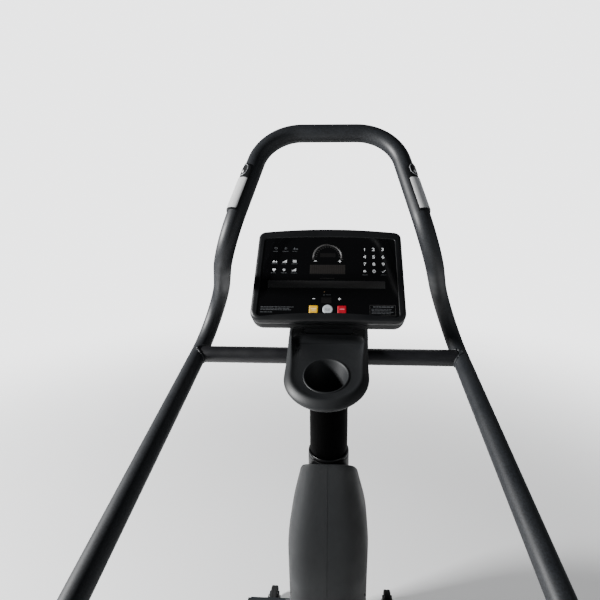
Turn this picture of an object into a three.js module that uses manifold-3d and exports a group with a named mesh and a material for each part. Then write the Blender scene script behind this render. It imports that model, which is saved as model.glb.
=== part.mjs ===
// Pedal stair climber: base, drive tower, mast, bent handrail, console, and two sprung
// pedal arms that drive an alternator through chains. Millimetres, +Z up, the user stands
// on the -Y side and faces +Y, and Z = 0 is the floor.

import * as THREE from 'three';
import { mergeVertices } from 'three/addons/utils/BufferGeometryUtils.js';
import Module from 'manifold-3d';

const wasm = await Module();
wasm.setup();

const { PI } = Math;
const GAP = 0.3;
const degrees = THREE.MathUtils.degToRad;
const at = (x, y, z) => new THREE.Vector3(x, y, z);

// ---------------------------------------------------------------- driving dimensions

// Handrail: one 38.1 mm tube bent into a hoop, its corners given for the right-hand side.
const RAIL_RADIUS = 19.05;
const RAIL_WALL = 2.6;
const RAIL_BEND = 100;
const RAIL_TOP_CORNER = at(139, 299, 1717.5);
const RAIL_KNEE = at(205, 134.5, 1483);
const RAIL_ELBOW = at(299, 399, 1276);
const RAIL_LOW = at(327, -400, 1019);
const RAIL_SPLIT_Y = -300;
const LEG_CORNER_Y = -440;
const LEG_BEND = 150;
const LEG_FOOT = at(345, -590, 99);
const CROSSBAR_Y = 224;
const CROSSBAR_Z = 1219.6;
const PULSE_TURN = degrees(49);
const PULSE_HOUSING = 1.4;
const PULSE_PLATE = 0.8;

// Base: rectangular steel tube on four levelling feet, with two transport wheels.
const TUBE = 60;
const TUBE_WALL = 3;
const BASE_BOTTOM = 35;
const BASE_TOP = BASE_BOTTOM + TUBE;
const BEAM_WIDTH = 80;
const REAR_Y = -620;
const REAR_HALF = 380;
const FRONT_Y = 480;
const FRONT_HALF = 300;
const CAP_THICKNESS = 10;
const WHEEL_RADIUS = 35;
const WHEEL_WIDTH = 24;
const WHEEL_X = 220;
const WHEEL_Y = 585;
const WHEEL_Z = 44;

// Mast and tower.
const MAST_Y = 300;
const MAST_RADIUS = 50;
const MAST_WALL = 3;
const MAST_BOTTOM = 698;
const MAST_TOP = 1250;
const PLATE_X = 62;
const PLATE = 6;

// Shroud: two thin moulded halves split on the middle plane.
const SHROUD_WALL = 3;
const SHROUD_BOTTOM = 104;
const SHROUD_TOP = 919;
const SHROUD_TOP_BACK = 802;
const COLLAR_RADIUS = 54.5;
const COLLAR_TOP = 921;
const COLLAR_BOTTOM = 796;

// Pedal arms: hinged on one axle low in the tower; rest is the raised position.
const AXLE = at(0, 420, 190);
const AXLE_RADIUS = 15;
const ARM_X = 135;
const ARM_LENGTH = 640;
const ARM_WIDTH = 28;
const ARM_HEIGHT = 56;
const ARM_REST = degrees(25);
const ARM_TRAVEL = degrees(30);
const LINK_DROP = 60;
const CHAIN_ARM = 130;
const CHAIN_X = 88;
const CHAIN_PIN = 6;

// Pedals: platforms that stay level, sized about the pivot at the end of their arm.
const PEDAL = at(
  0, AXLE.y - ARM_LENGTH * Math.cos(ARM_REST), AXLE.z + ARM_LENGTH * Math.sin(ARM_REST),
);
const PEDAL_X = 150;
const PEDAL_HALF = 68;
const PEDAL_BACK = -190;
const PEDAL_FRONT = 130;
const PEDAL_DECK = 46;

// Drive: sprockets on the shaft, a large pulley, a belt and an alternator.
const SHAFT = at(0, 325, 540);
const SHAFT_RADIUS = 10;
const SPROCKET_RADIUS = 28.5;
const SPROCKET_TEETH = 14;
const PULLEY_X = 40;
const PULLEY_WIDTH = 24;
const PULLEY_RADIUS = 92;
const ALTERNATOR = at(0, 455, 330);
const ALTERNATOR_RADIUS = 52;
const ALTERNATOR_PULLEY_RADIUS = 18;
const BELT_THICKNESS = 3;
const CHAIN_TOP = SHAFT.z - 20;
const SPRING_BOTTOM = 106;
const SPRING_TOP = 300;

// Cup holder tray, in a frame tilted towards the user; the cup well in it stands upright.
const TRAY_ORIGIN = at(0, 116, 1224);
const TRAY_TILT = degrees(18);
const TRAY_HALF = 90;
const TRAY_FRONT = -80;
const TRAY_BACK = 255;
const TRAY_DEPTH = 88;
const TRAY_RIM = 14;
const TRAY_FLARE = 6;
const TRAY_FRONT_DEPTH = 34;
const DISH_INSET = 22;
const DISH_SPREAD = 11;
const CUP_Y = 120;
const CUP_RADIUS = 45;
const CUP_FLOOR_RADIUS = 34;
const CUP_DEPTH = 60;
const NECK_HALF = 58.5;
const NECK_FRONT = 242;

// Console, in a frame on its face: x across, y up the face, z out towards the user.
const FACE_ORIGIN = at(0, 250, 1394);
const FACE_TILT = degrees(48.7);
const FACE_HALF = 173.5;
const FACE_LOW = -100;
const FACE_HIGH = 136;
const FACE_BOW = 11;
const BEZEL_DEPTH = 22;
const SCREEN_HALF = 157;
const SCREEN_LOW = -84;
const SCREEN_HIGH = 115;
const SHELL_DEPTH = 62;
const KEY_Y = -71.5;
const KEY_SPACING = 31.5;
const KEY_HALF_WIDTH = 10;
const KEY_HALF_HEIGHT = 9.5;
const ROUND_KEY_RADIUS = 11.5;

// ---------------------------------------------------------------- materials

const paint = (color, roughness, metalness = 0) => () =>
  new THREE.MeshStandardMaterial({ color, roughness, metalness });
const powderCoat = paint(0x2e3236, 0.5, 0.1);
const blackPaint = paint(0x0c0c0d, 0.45, 0.1);
const darkPlastic = paint(0x35393d, 0.62);
const greyPlastic = paint(0x4b5052, 0.6);
const glossBlack = paint(0x060607, 0.12);
const steel = paint(0xa8aaac, 0.35, 0.9);
const rubber = paint(0x18191a, 0.85);
const boardGreen = paint(0x1d5a36, 0.5);
const copper = paint(0x8a5a3a, 0.4, 0.8);
const yellow = paint(0xf2c230, 0.4);
const silver = paint(0xb9bdbf, 0.35, 0.3);
const red = paint(0xc81f30, 0.4);

// ---------------------------------------------------------------- solids

function toSolid(geometry) {
  const bare = geometry.clone();
  bare.deleteAttribute('normal');
  bare.deleteAttribute('uv');
  const merged = mergeVertices(bare, 1e-3);
  return new wasm.Manifold(new wasm.Mesh({
    numProp: 3,
    vertProperties: new Float32Array(merged.attributes.position.array),
    triVerts: new Uint32Array(merged.index.array),
  }));
}

function toGeometry(solid) {
  const mesh = solid.getMesh();
  const geometry = new THREE.BufferGeometry();
  geometry.setAttribute('position', new THREE.BufferAttribute(mesh.vertProperties, 3));
  geometry.setIndex(new THREE.BufferAttribute(mesh.triVerts, 1));
  geometry.computeVertexNormals();
  return geometry;
}

const fold = (name) => (first, ...rest) =>
  toGeometry(rest.reduce((sum, next) => sum[name](toSolid(next)), toSolid(first)));
const join = fold('add');
const cut = fold('subtract');
const common = fold('intersect');

function block(x0, x1, y0, y1, z0, z1) {
  const geometry = new THREE.BoxGeometry(Math.abs(x1 - x0), Math.abs(y1 - y0), Math.abs(z1 - z0));
  return geometry.translate((x0 + x1) / 2, (y0 + y1) / 2, (z0 + z1) / 2);
}

// A round bar from x0 to x1, with its centre line through the given y and z.
function barX(radius, x0, x1, y, z, sides = 16) {
  const geometry = new THREE.CylinderGeometry(radius, radius, Math.abs(x1 - x0), sides);
  return geometry.rotateZ(PI / 2).translate((x0 + x1) / 2, y, z);
}

function barZ(radius, z0, z1, x, y, sides = 24) {
  const geometry = new THREE.CylinderGeometry(radius, radius, z1 - z0, sides);
  return geometry.rotateX(PI / 2).translate(x, y, (z0 + z1) / 2);
}

function plate(shape, thickness, options = {}) {
  return new THREE.ExtrudeGeometry(shape, {
    depth: thickness, bevelEnabled: false, curveSegments: 6, ...options,
  });
}

// A profile drawn in Y and Z, extruded from x0 to x1.
function extrudeX(shape, x0, x1, options = {}) {
  const basis = new THREE.Matrix4().makeBasis(at(0, 1, 0), at(0, 0, 1), at(1, 0, 0));
  return plate(shape, x1 - x0, options).applyMatrix4(basis).translate(x0, 0, 0);
}

// A profile drawn in X and Z, extruded from y0 to y1.
function extrudeY(shape, y0, y1, options = {}) {
  const basis = new THREE.Matrix4().makeBasis(at(1, 0, 0), at(0, 0, 1), at(0, -1, 0));
  return plate(shape, y1 - y0, options).applyMatrix4(basis).translate(0, y1, 0);
}

function polygon(points) {
  return new THREE.Shape(points.map(([x, y]) => new THREE.Vector2(x, y)));
}

function circleOutline(x, y, radius) {
  return new THREE.Path().absarc(x, y, radius, 0, 2 * PI, true);
}

function roundedRectangle(x0, x1, y0, y1, radius) {
  const shape = new THREE.Shape();
  shape.absarc(x1 - radius, y0 + radius, radius, -PI / 2, 0);
  shape.absarc(x1 - radius, y1 - radius, radius, 0, PI / 2);
  shape.absarc(x0 + radius, y1 - radius, radius, PI / 2, PI);
  shape.absarc(x0 + radius, y0 + radius, radius, PI, 1.5 * PI);
  return shape;
}

// A tube's centre line: straight runs joined by arcs, with stations only where it bends.
class BentPath extends THREE.Curve {
  constructor(corners, bends, stepsPerBend = 6) {
    super();
    this.places = [corners[0]];
    this.directions = [corners[1].clone().sub(corners[0]).normalize()];
    for (let i = 1; i < corners.length - 1; i += 1) {
      this.addBend(corners[i - 1], corners[i], corners[i + 1], bends[i - 1], stepsPerBend);
    }
    this.places.push(corners.at(-1));
    this.directions.push(this.directions.at(-1).clone());
  }

  addBend(before, corner, after, radius, steps) {
    const incoming = corner.clone().sub(before).normalize();
    const outgoing = after.clone().sub(corner).normalize();
    const turn = incoming.angleTo(outgoing);
    const start = corner.clone().addScaledVector(incoming, -radius * Math.tan(turn / 2));
    const axis = incoming.clone().cross(outgoing).normalize();
    const inward = axis.clone().cross(incoming);
    const centre = start.clone().addScaledVector(inward, radius);
    for (let step = 0; step <= steps; step += 1) {
      const angle = turn * step / steps;
      const spoke = inward.clone().multiplyScalar(-radius).applyAxisAngle(axis, angle);
      this.places.push(centre.clone().add(spoke));
      this.directions.push(incoming.clone().applyAxisAngle(axis, angle));
    }
  }

  get steps() {
    return this.places.length - 1;
  }

  getPoint(t) {
    const place = t * this.steps;
    const low = Math.min(Math.floor(place), this.steps - 1);
    return this.places[low].clone().lerp(this.places[low + 1], place - low);
  }

  getPointAt(u) {
    return this.getPoint(u);
  }

  getTangentAt(u) {
    return this.directions[Math.round(u * this.steps)].clone();
  }

  getSpacedPoints(divisions) {
    return this.getPoints(divisions);
  }
}

function extrudeAlong(path, section) {
  return new THREE.ExtrudeGeometry(section, {
    steps: path.steps, extrudePath: path, bevelEnabled: false, curveSegments: 5,
  });
}

function rod(path, radius) {
  return extrudeAlong(path, new THREE.Shape().absarc(0, 0, radius, 0, 2 * PI));
}

function tube(path, radius, wall) {
  const ring = new THREE.Shape().absarc(0, 0, radius, 0, 2 * PI);
  ring.holes.push(circleOutline(0, 0, radius - wall));
  return extrudeAlong(path, ring);
}

// A solid of revolution about the vertical axis, from profile points of radius and height.
function turned(points, sides = 20) {
  const profile = points.map(([radius, height]) => new THREE.Vector2(radius, height));
  return new THREE.LatheGeometry(profile, sides).rotateX(PI / 2);
}

// A ring turned about X: its bore and rim radii, and its two faces.
function ringX(bore, rim, x0, x1, y, z, sides = 16) {
  const loop = [[bore, x0], [rim, x0], [rim, x1], [bore, x1], [bore, x0]];
  return turned(loop, sides).rotateY(PI / 2).translate(0, y, z);
}

// ---------------------------------------------------------------- scene

const group = new THREE.Group();
const sides = [['left', -1], ['right', 1]];

function add(name, geometry, material, parent = group) {
  const mesh = new THREE.Mesh(geometry, material());
  mesh.name = name;
  parent.add(mesh);
  return mesh;
}

const mirrored = (point, side) => at(point.x * side, point.y, point.z);
const span = (side, x0, x1) => [Math.min(side * x0, side * x1), Math.max(side * x0, side * x1)];

// ---------------------------------------------------------------- base

function boxTubeX(half, y) {
  const outer = block(-half, half, y, y + TUBE, BASE_BOTTOM, BASE_TOP);
  const inner = block(
    -half - 1, half + 1, y + TUBE_WALL, y + TUBE - TUBE_WALL,
    BASE_BOTTOM + TUBE_WALL, BASE_TOP - TUBE_WALL,
  );
  return cut(outer, inner);
}

function baseBeam() {
  const half = BEAM_WIDTH / 2;
  const y0 = REAR_Y + TUBE + GAP;
  const y1 = FRONT_Y - GAP;
  const outer = block(-half, half, y0, y1, BASE_BOTTOM, BASE_TOP);
  const inner = block(
    -half + TUBE_WALL, half - TUBE_WALL, y0 - 1, y1 + 1,
    BASE_BOTTOM + TUBE_WALL, BASE_TOP - TUBE_WALL,
  );
  return cut(outer, inner);
}

// The front tube carries two lugs and a pin for each transport wheel.
function frontCrossmember() {
  const lug = 5;
  const inside = WHEEL_WIDTH / 2 + 2;
  const pieces = [boxTubeX(FRONT_HALF, FRONT_Y)];
  for (const [, side] of sides) {
    const centre = side * WHEEL_X;
    for (const end of [-1, 1]) {
      const x0 = centre + end * inside;
      const x1 = x0 + end * lug;
      pieces.push(block(x0, x1, FRONT_Y + TUBE - 1, WHEEL_Y + 13, WHEEL_Z - 10, WHEEL_Z + 12));
    }
    const reach = inside + lug;
    pieces.push(barX(5, centre - reach, centre + reach, WHEEL_Y, WHEEL_Z, 12));
  }
  return join(...pieces);
}

function endCap(side, half, y) {
  const [x0, x1] = span(side, half + GAP, half + CAP_THICKNESS);
  const [p0, p1] = span(side, half - 22, half + CAP_THICKNESS / 2);
  const face = roundedRectangle(y, y + TUBE, BASE_BOTTOM, BASE_TOP, 6);
  const inset = TUBE_WALL + 1;
  return join(
    extrudeX(face, x0, x1, { curveSegments: 3 }),
    block(p0, p1, y + inset, y + TUBE - inset, BASE_BOTTOM + inset, BASE_TOP - inset),
  );
}

function levellingFoot(x, y) {
  const top = BASE_BOTTOM - GAP;
  const profile = [
    [0, 0], [26, 0], [28, 4], [25, 12], [14, 16], [14, 22], [7, 22], [7, top], [0, top],
  ];
  return turned(profile, 10).translate(x, y, 0);
}

function transportWheel(x) {
  const half = WHEEL_WIDTH / 2;
  const rim = WHEEL_RADIUS;
  const loop = [
    [5.6, -half], [14, -half], [14, -half + 4], [rim - 9, -half + 4], [rim - 8, -half],
    [rim - 2, -half], [rim, -half + 3], [rim, half - 3], [rim - 2, half], [rim - 8, half],
    [rim - 9, half - 4], [14, half - 4], [14, half], [5.6, half], [5.6, -half],
  ];
  return turned(loop, 16).rotateY(PI / 2).translate(x, WHEEL_Y, WHEEL_Z);
}

add('base_beam', baseBeam(), powderCoat);
add('rear_crossmember', boxTubeX(REAR_HALF, REAR_Y), powderCoat);
add('front_crossmember', frontCrossmember(), powderCoat);
for (const [name, side] of sides) {
  add(`rear_${name}_end_cap`, endCap(side, REAR_HALF, REAR_Y), darkPlastic);
  add(`front_${name}_end_cap`, endCap(side, FRONT_HALF, FRONT_Y), darkPlastic);
  add(`rear_${name}_foot`, levellingFoot(side * (REAR_HALF - 30), REAR_Y + TUBE / 2), rubber);
  add(`front_${name}_foot`, levellingFoot(side * (FRONT_HALF - 30), FRONT_Y + TUBE / 2), rubber);
  add(`${name}_transport_wheel`, transportWheel(side * WHEEL_X), rubber);
}

// ---------------------------------------------------------------- tower and mast

function towerPlate(side) {
  const outline = polygon([
    [235, BASE_TOP + 4], [505, BASE_TOP + 4], [520, 300], [512, 400], [400, 694], [240, 694],
  ]);
  const [x0, x1] = span(side, PLATE_X, PLATE_X + PLATE);
  return extrudeX(outline, x0, x1);
}

// Two side plates on a foot plate, a top plate with the mast's spigot, and the fixed pins.
function towerFrame() {
  const footTop = BASE_TOP + GAP + 8;
  const seat = MAST_BOTTOM - GAP;
  const spigot = MAST_RADIUS - MAST_WALL - 1;
  const outerX = PLATE_X + PLATE;
  const anchorZ = AXLE.z - LINK_DROP;
  const welded = join(
    block(-98, 98, 230, 505, BASE_TOP + GAP, footTop),
    towerPlate(-1),
    towerPlate(1),
    block(-outerX, outerX, 235, 365, seat - 8, seat),
    barZ(spigot, seat - 2, seat + 90, 0, MAST_Y),
    block(-outerX, outerX, 250, 256, 240, 420),
    barX(24, -outerX - 6, outerX + 6, AXLE.y, AXLE.z),
    barX(8, -148, 148, AXLE.y, anchorZ, 16),
  );
  return cut(
    welded,
    barZ(spigot - 5, seat - 20, seat + 100, 0, MAST_Y),
    barX(AXLE_RADIUS + 0.6, -90, 90, AXLE.y, AXLE.z),
    barX(SHAFT_RADIUS + 4, -90, 90, SHAFT.y, SHAFT.z),
  );
}

function mast() {
  const bottom = MAST_BOTTOM;
  return cut(
    barZ(MAST_RADIUS, bottom, MAST_TOP, 0, MAST_Y),
    barZ(MAST_RADIUS - MAST_WALL, bottom - 1, MAST_TOP + 1, 0, MAST_Y),
  );
}

function mastCollar() {
  return cut(
    barZ(COLLAR_RADIUS, COLLAR_BOTTOM, COLLAR_TOP, 0, MAST_Y),
    barZ(MAST_RADIUS + GAP, COLLAR_BOTTOM - 1, COLLAR_TOP + 1, 0, MAST_Y),
  );
}

add('tower_frame', towerFrame(), powderCoat);
add('mast', mast(), blackPaint);
add('mast_collar', mastCollar(), rubber);

// ---------------------------------------------------------------- shroud

// Seen from behind: a narrow neck that flares into a wide body.
function shroudFrontProfile(inset) {
  const shape = new THREE.Shape();
  const top = SHROUD_TOP - inset;
  shape.moveTo(0, SHROUD_BOTTOM - 4);
  shape.lineTo(112 - inset, SHROUD_BOTTOM - 4);
  shape.lineTo(112 - inset, 640);
  shape.bezierCurveTo(112 - inset, 725, 74 - inset, 840, 69 - inset, top - 12);
  shape.quadraticCurveTo(67 - inset, top, 55 - inset, top);
  shape.lineTo(-55 + inset, top);
  shape.quadraticCurveTo(-67 + inset, top, -69 + inset, top - 12);
  shape.bezierCurveTo(-74 + inset, 840, -112 + inset, 725, -112 + inset, 640);
  shape.lineTo(-112 + inset, SHROUD_BOTTOM - 4);
  return shape;
}

// Seen from the side: the top edge falls away from the user.
function shroudSideProfile(inset) {
  const shape = new THREE.Shape();
  shape.moveTo(182 + inset, SHROUD_BOTTOM - inset);
  shape.lineTo(546 - inset, SHROUD_BOTTOM - inset);
  shape.lineTo(546 - inset, 420);
  shape.bezierCurveTo(546 - inset, 640, 400 - inset, 690, 360 - inset, SHROUD_TOP_BACK - inset);
  shape.lineTo(238 + inset, SHROUD_TOP - inset);
  shape.bezierCurveTo(226 + inset, 780, 182 + inset, 700, 182 + inset, 560);
  return shape;
}

function shroudForm(inset) {
  return common(
    extrudeY(shroudFrontProfile(inset), 150, 600, { curveSegments: 5 }),
    extrudeX(shroudSideProfile(inset), -150, 150, { curveSegments: 5 }),
  );
}

// The curved slot that a chain pin sweeps as its arm moves, with room all round.
function chainSlot(side) {
  const reach = CHAIN_PIN + 4;
  const spare = reach / CHAIN_ARM;
  const start = PI - ARM_REST - spare;
  const end = PI - ARM_REST + ARM_TRAVEL + spare;
  const shape = new THREE.Shape();
  shape.absarc(AXLE.y, AXLE.z, CHAIN_ARM + reach, start, end);
  shape.absarc(AXLE.y, AXLE.z, CHAIN_ARM - reach, end, start, true);
  const [x0, x1] = span(side, 90, 130);
  return extrudeX(shape, x0, x1, { curveSegments: 5 });
}

function shroudHalf(side, shell) {
  const [x0, x1] = span(side, GAP / 2, 200);
  const [p0, p1] = span(side, 60, 200);
  const half = common(shell, block(x0, x1, 100, 650, 0, 1000));
  return cut(
    half,
    barZ(COLLAR_RADIUS + 0.6, 700, 1000, 0, MAST_Y),
    barX(20, p0, p1, AXLE.y, AXLE.z),
    barX(12, p0, p1, AXLE.y, AXLE.z - LINK_DROP, 16),
    chainSlot(side),
  );
}

const shroudShell = cut(shroudForm(0), shroudForm(SHROUD_WALL));
for (const [name, side] of sides) {
  add(`${name}_shroud`, shroudHalf(side, shroudShell), greyPlastic);
}

// ---------------------------------------------------------------- handrail

const railPoint = (y) =>
  RAIL_ELBOW.clone().lerp(RAIL_LOW, (RAIL_ELBOW.y - y) / (RAIL_ELBOW.y - RAIL_LOW.y));

function hoopPath() {
  const right = [RAIL_TOP_CORNER, RAIL_KNEE, RAIL_ELBOW, railPoint(RAIL_SPLIT_Y)];
  const left = right.map((point) => mirrored(point, -1)).reverse();
  return new BentPath([...left, ...right], Array(6).fill(RAIL_BEND));
}

// The lower length of the handrail, welded to a plate on the rear crossmember.
function rearLeg(side) {
  const corners = [railPoint(RAIL_SPLIT_Y - GAP), railPoint(LEG_CORNER_Y), LEG_FOOT];
  const path = new BentPath(corners.map((point) => mirrored(point, side)), [LEG_BEND]);
  const [x0, x1] = span(side, LEG_FOOT.x - 33, LEG_FOOT.x + 33);
  const pad = block(x0, x1, LEG_FOOT.y - 29, LEG_FOOT.y + 29, BASE_TOP + GAP, BASE_TOP + 8);
  return join(tube(path, RAIL_RADIUS, RAIL_WALL), pad);
}

// The crossbar's ends are coped to the rails that they are welded to.
function crossbar() {
  return cut(
    barX(RAIL_RADIUS, -295, 295, CROSSBAR_Y, CROSSBAR_Z),
    barX(RAIL_RADIUS - RAIL_WALL, -310, 310, CROSSBAR_Y, CROSSBAR_Z),
    rod(hoopPath(), RAIL_RADIUS + 2 * GAP),
  );
}

// A saddle between the crossbar and the mast.
function railBracket() {
  return cut(
    block(-42, 42, 215, 275, 1197, 1242),
    barX(RAIL_RADIUS + GAP, -50, 50, CROSSBAR_Y, CROSSBAR_Z),
    barZ(MAST_RADIUS + GAP, 1100, 1300, 0, MAST_Y),
  );
}

add('handrail_hoop', tube(hoopPath(), RAIL_RADIUS, RAIL_WALL), powderCoat);
add('crossbar', crossbar(), powderCoat);
add('rail_bracket', railBracket(), blackPaint);
for (const [name, side] of sides) {
  add(`${name}_rear_leg`, rearLeg(side), powderCoat);
}

// ---------------------------------------------------------------- pulse sensors

// Part of a ring, centred on the +X direction, between two radii.
function ringSector(inner, outer, halfAngle) {
  const shape = new THREE.Shape();
  shape.absarc(0, 0, outer, -halfAngle, halfAngle);
  shape.absarc(0, 0, inner, halfAngle, -halfAngle, true);
  return shape;
}

// A curved strip round the rail's upper straight, turned from its outside towards the user.
function railStrip(side, shape, start, length) {
  const along = mirrored(RAIL_KNEE, side).sub(mirrored(RAIL_TOP_CORNER, side)).normalize();
  const outward = at(side, 0, 0);
  outward.addScaledVector(along, -outward.dot(along)).normalize();
  outward.applyAxisAngle(along, side * PULSE_TURN);
  const basis = new THREE.Matrix4().makeBasis(outward, along.clone().cross(outward), along);
  const origin = mirrored(RAIL_TOP_CORNER, side).addScaledVector(along, start);
  return plate(shape, length).applyMatrix4(basis).translate(origin.x, origin.y, origin.z);
}

for (const [name, side] of sides) {
  const inner = RAIL_RADIUS + 2 * GAP;
  const seat = inner + PULSE_HOUSING + GAP;
  const housing = ringSector(inner, inner + PULSE_HOUSING, degrees(70));
  const contact = ringSector(seat, seat + PULSE_PLATE, degrees(52));
  add(`${name}_pulse_housing`, railStrip(side, housing, 98, 115), darkPlastic);
  add(`${name}_pulse_plate`, railStrip(side, contact, 135.5, 74.5), steel);
}

// ---------------------------------------------------------------- cup holder and neck

const trayFrame = new THREE.Matrix4().makeRotationX(TRAY_TILT).setPosition(TRAY_ORIGIN);
const trayTop = (y) => TRAY_ORIGIN.z + Math.tan(TRAY_TILT) * (y - TRAY_ORIGIN.y);

// The right half of the tray's plan, from its front to its back, in the tilted frame.
// The spread is how much wider it is at its back than the inset alone would make it.
function trayHalfOutline(inset, back, spread = 0) {
  const points = [];
  const centre = TRAY_FRONT + TRAY_HALF;
  for (let i = 0; i <= 9; i += 1) {
    const angle = PI / 2 * i / 9;
    const radius = TRAY_HALF - inset;
    points.push([radius * Math.sin(angle), centre - radius * Math.cos(angle)]);
  }
  const corner = 25;
  const end = back - inset;
  const half = (y) => TRAY_HALF - inset + TRAY_FLARE * THREE.MathUtils.smoothstep(y, 20, 200)
    + spread * THREE.MathUtils.smoothstep(y, 0, 140);
  for (let i = 1; i <= 4; i += 1) {
    const y = centre + (end - corner - centre) * i / 4;
    points.push([half(y), y]);
  }
  for (let i = 1; i <= 3; i += 1) {
    const angle = PI / 2 * i / 3;
    const reach = half(end) - corner + corner * Math.cos(angle);
    points.push([reach, end - corner + corner * Math.sin(angle)]);
  }
  return [...points, [0, end]];
}

// A solid through closed rings, each given by its right half and symmetric about X = 0.
function symmetricLoft(halves) {
  const rings = halves.map((half) => [
    ...half,
    ...half.slice(1, -1).reverse().map(([x, y, z]) => [-x, y, z]),
  ]);
  const count = rings[0].length;
  const last = halves[0].length - 1;
  const corners = [];
  const quad = (a, b, c, d) => corners.push(a, b, c, a, c, d);
  for (let i = 0; i + 1 < rings.length; i += 1) {
    for (let j = 0; j < count; j += 1) {
      const next = (j + 1) % count;
      quad(rings[i][j], rings[i + 1][j], rings[i + 1][next], rings[i][next]);
    }
  }
  const [top, bottom] = [rings[0], rings.at(-1)];
  for (let j = 0; j < last; j += 1) {
    const [left, nextLeft] = [(count - j) % count, count - j - 1];
    quad(top[left], top[j], top[j + 1], top[nextLeft]);
    quad(bottom[nextLeft], bottom[j + 1], bottom[j], bottom[left]);
  }
  const geometry = new THREE.BufferGeometry();
  geometry.setAttribute('position', new THREE.Float32BufferAttribute(corners.flat(), 3));
  return geometry;
}

// The tray's body: a rounded rim, and an underside that rises towards the front.
function trayForm(profile) {
  const halves = profile.map(([inset, height, share]) =>
    trayHalfOutline(inset, TRAY_BACK).map(([x, y]) => {
      const extra = TRAY_DEPTH - TRAY_FRONT_DEPTH;
      const depth = TRAY_FRONT_DEPTH + extra * THREE.MathUtils.smoothstep(y, -60, 80);
      return [x, y, height - share * (depth - TRAY_RIM)];
    }));
  return symmetricLoft(halves).applyMatrix4(trayFrame);
}

function cupForm(grow, floor) {
  const slope = (CUP_RADIUS - CUP_FLOOR_RADIUS) / CUP_DEPTH;
  const top = 1300;
  const wide = CUP_RADIUS + grow + slope * (top - TRAY_ORIGIN.z);
  const base = CUP_FLOOR_RADIUS + grow;
  const profile = [[0, floor], [base - 7, floor], [base, floor + 7], [wide, top], [0, top]];
  return turned(profile, 24).translate(0, CUP_Y, 0);
}

function cupHolderTray() {
  const wall = 4;
  const cupFloor = TRAY_ORIGIN.z - CUP_DEPTH;
  const roomForBracket = block(-46, 46, 200, 280, 1150, 1243);
  const dishPlan = trayHalfOutline(DISH_INSET, TRAY_BACK - 100, DISH_SPREAD);
  const dish = symmetricLoft([40, -5].map((z) => dishPlan.map(([x, y]) => [x, y, z])));
  const outside = trayForm([
    [16, 0, 0], [12, -1, 0], [4, -7, 0], [0, -TRAY_RIM, 0],
    [2, -TRAY_RIM, 0.28], [9, -TRAY_RIM, 0.7], [24, -TRAY_RIM, 1],
  ]);
  const inside = trayForm([
    [22, -10, 0], [6, -TRAY_RIM, 0], [7, -TRAY_RIM, 0.26],
    [13, -TRAY_RIM, 0.62], [26, wall - TRAY_RIM, 1],
  ]);
  const underRim = block(-100, 100, -100, 260, -150, -3).applyMatrix4(trayFrame);
  return cut(
    join(cut(outside, inside), common(cupForm(wall, cupFloor - wall), underRim)),
    dish.applyMatrix4(trayFrame),
    cupForm(0, cupFloor),
    barX(RAIL_RADIUS + 2.5, -120, 120, CROSSBAR_Y, CROSSBAR_Z),
    barZ(MAST_RADIUS + 1.5, 1000, MAST_TOP + 3, 0, MAST_Y),
    block(-26, 26, MAST_Y - 26, MAST_Y + 26, 1150, 1350),
    roomForBracket,
  );
}

// The neck stands on the tray, with a spigot down into the mast and a way through for wiring.
function consoleNeck() {
  const lift = (y) => trayTop(y) + 2 * GAP;
  const back = SHELL_DEPTH + GAP;
  const faceY = (up) => FACE_ORIGIN.y + Math.sin(FACE_TILT) * back + Math.cos(FACE_TILT) * up;
  const faceZ = (up) => FACE_ORIGIN.z - Math.cos(FACE_TILT) * back + Math.sin(FACE_TILT) * up;
  const low = (NECK_FRONT - faceY(0)) / Math.cos(FACE_TILT);
  const high = 34;
  const outline = polygon([
    [NECK_FRONT, lift(NECK_FRONT)], [346, lift(346)], [356, 1372],
    [faceY(high), faceZ(high)], [NECK_FRONT, faceZ(low)],
  ]);
  return cut(
    join(
      extrudeX(outline, -NECK_HALF, NECK_HALF),
      block(-25, 25, MAST_Y - 25, MAST_Y + 25, 1196, 1300),
    ),
    barZ(16, 1150, 1500, 0, MAST_Y, 16),
  );
}

add('cup_holder_tray', cupHolderTray(), darkPlastic);
add('console_neck', consoleNeck(), darkPlastic);

// ---------------------------------------------------------------- console

const face = new THREE.Group();
face.position.copy(FACE_ORIGIN);
face.rotation.x = FACE_TILT;
group.add(face);

// The console's outline: slightly bowed along the top, rounder at the bottom.
function faceOutline(inset) {
  const half = FACE_HALF - inset;
  const low = FACE_LOW + inset;
  const high = FACE_HIGH - inset;
  const shape = new THREE.Shape();
  shape.absarc(half - 22, low + 22, 22, -PI / 2, 0);
  shape.absarc(half - 14, high - 14, 14, 0, PI / 2 - 0.12);
  shape.quadraticCurveTo(0, high + 2 * FACE_BOW, -half + 14, high);
  shape.absarc(-half + 14, high - 14, 14, PI / 2 + 0.12, PI);
  shape.absarc(-half + 22, low + 22, 22, PI, 1.5 * PI);
  return shape;
}

function consoleBezel() {
  const window = roundedRectangle(
    -SCREEN_HALF - GAP, SCREEN_HALF + GAP, SCREEN_LOW - GAP, SCREEN_HIGH + GAP, 8,
  );
  const edge = 5;
  const outer = new THREE.ExtrudeGeometry(faceOutline(0), {
    depth: BEZEL_DEPTH, curveSegments: 4,
    bevelSize: edge, bevelOffset: -edge, bevelThickness: edge, bevelSegments: 2,
  });
  const inFront = block(-200, 200, -200, 200, -BEZEL_DEPTH, 10);
  return cut(
    common(outer.translate(0, 0, -BEZEL_DEPTH - edge), inFront),
    plate(window, 60).translate(0, 0, -40),
  );
}

const keys = [
  ['yellow_key', -KEY_SPACING, KEY_HALF_WIDTH, KEY_HALF_HEIGHT, yellow],
  ['round_key', 0, ROUND_KEY_RADIUS, ROUND_KEY_RADIUS, silver],
  ['red_key', KEY_SPACING, KEY_HALF_WIDTH, KEY_HALF_HEIGHT, red],
];

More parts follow.
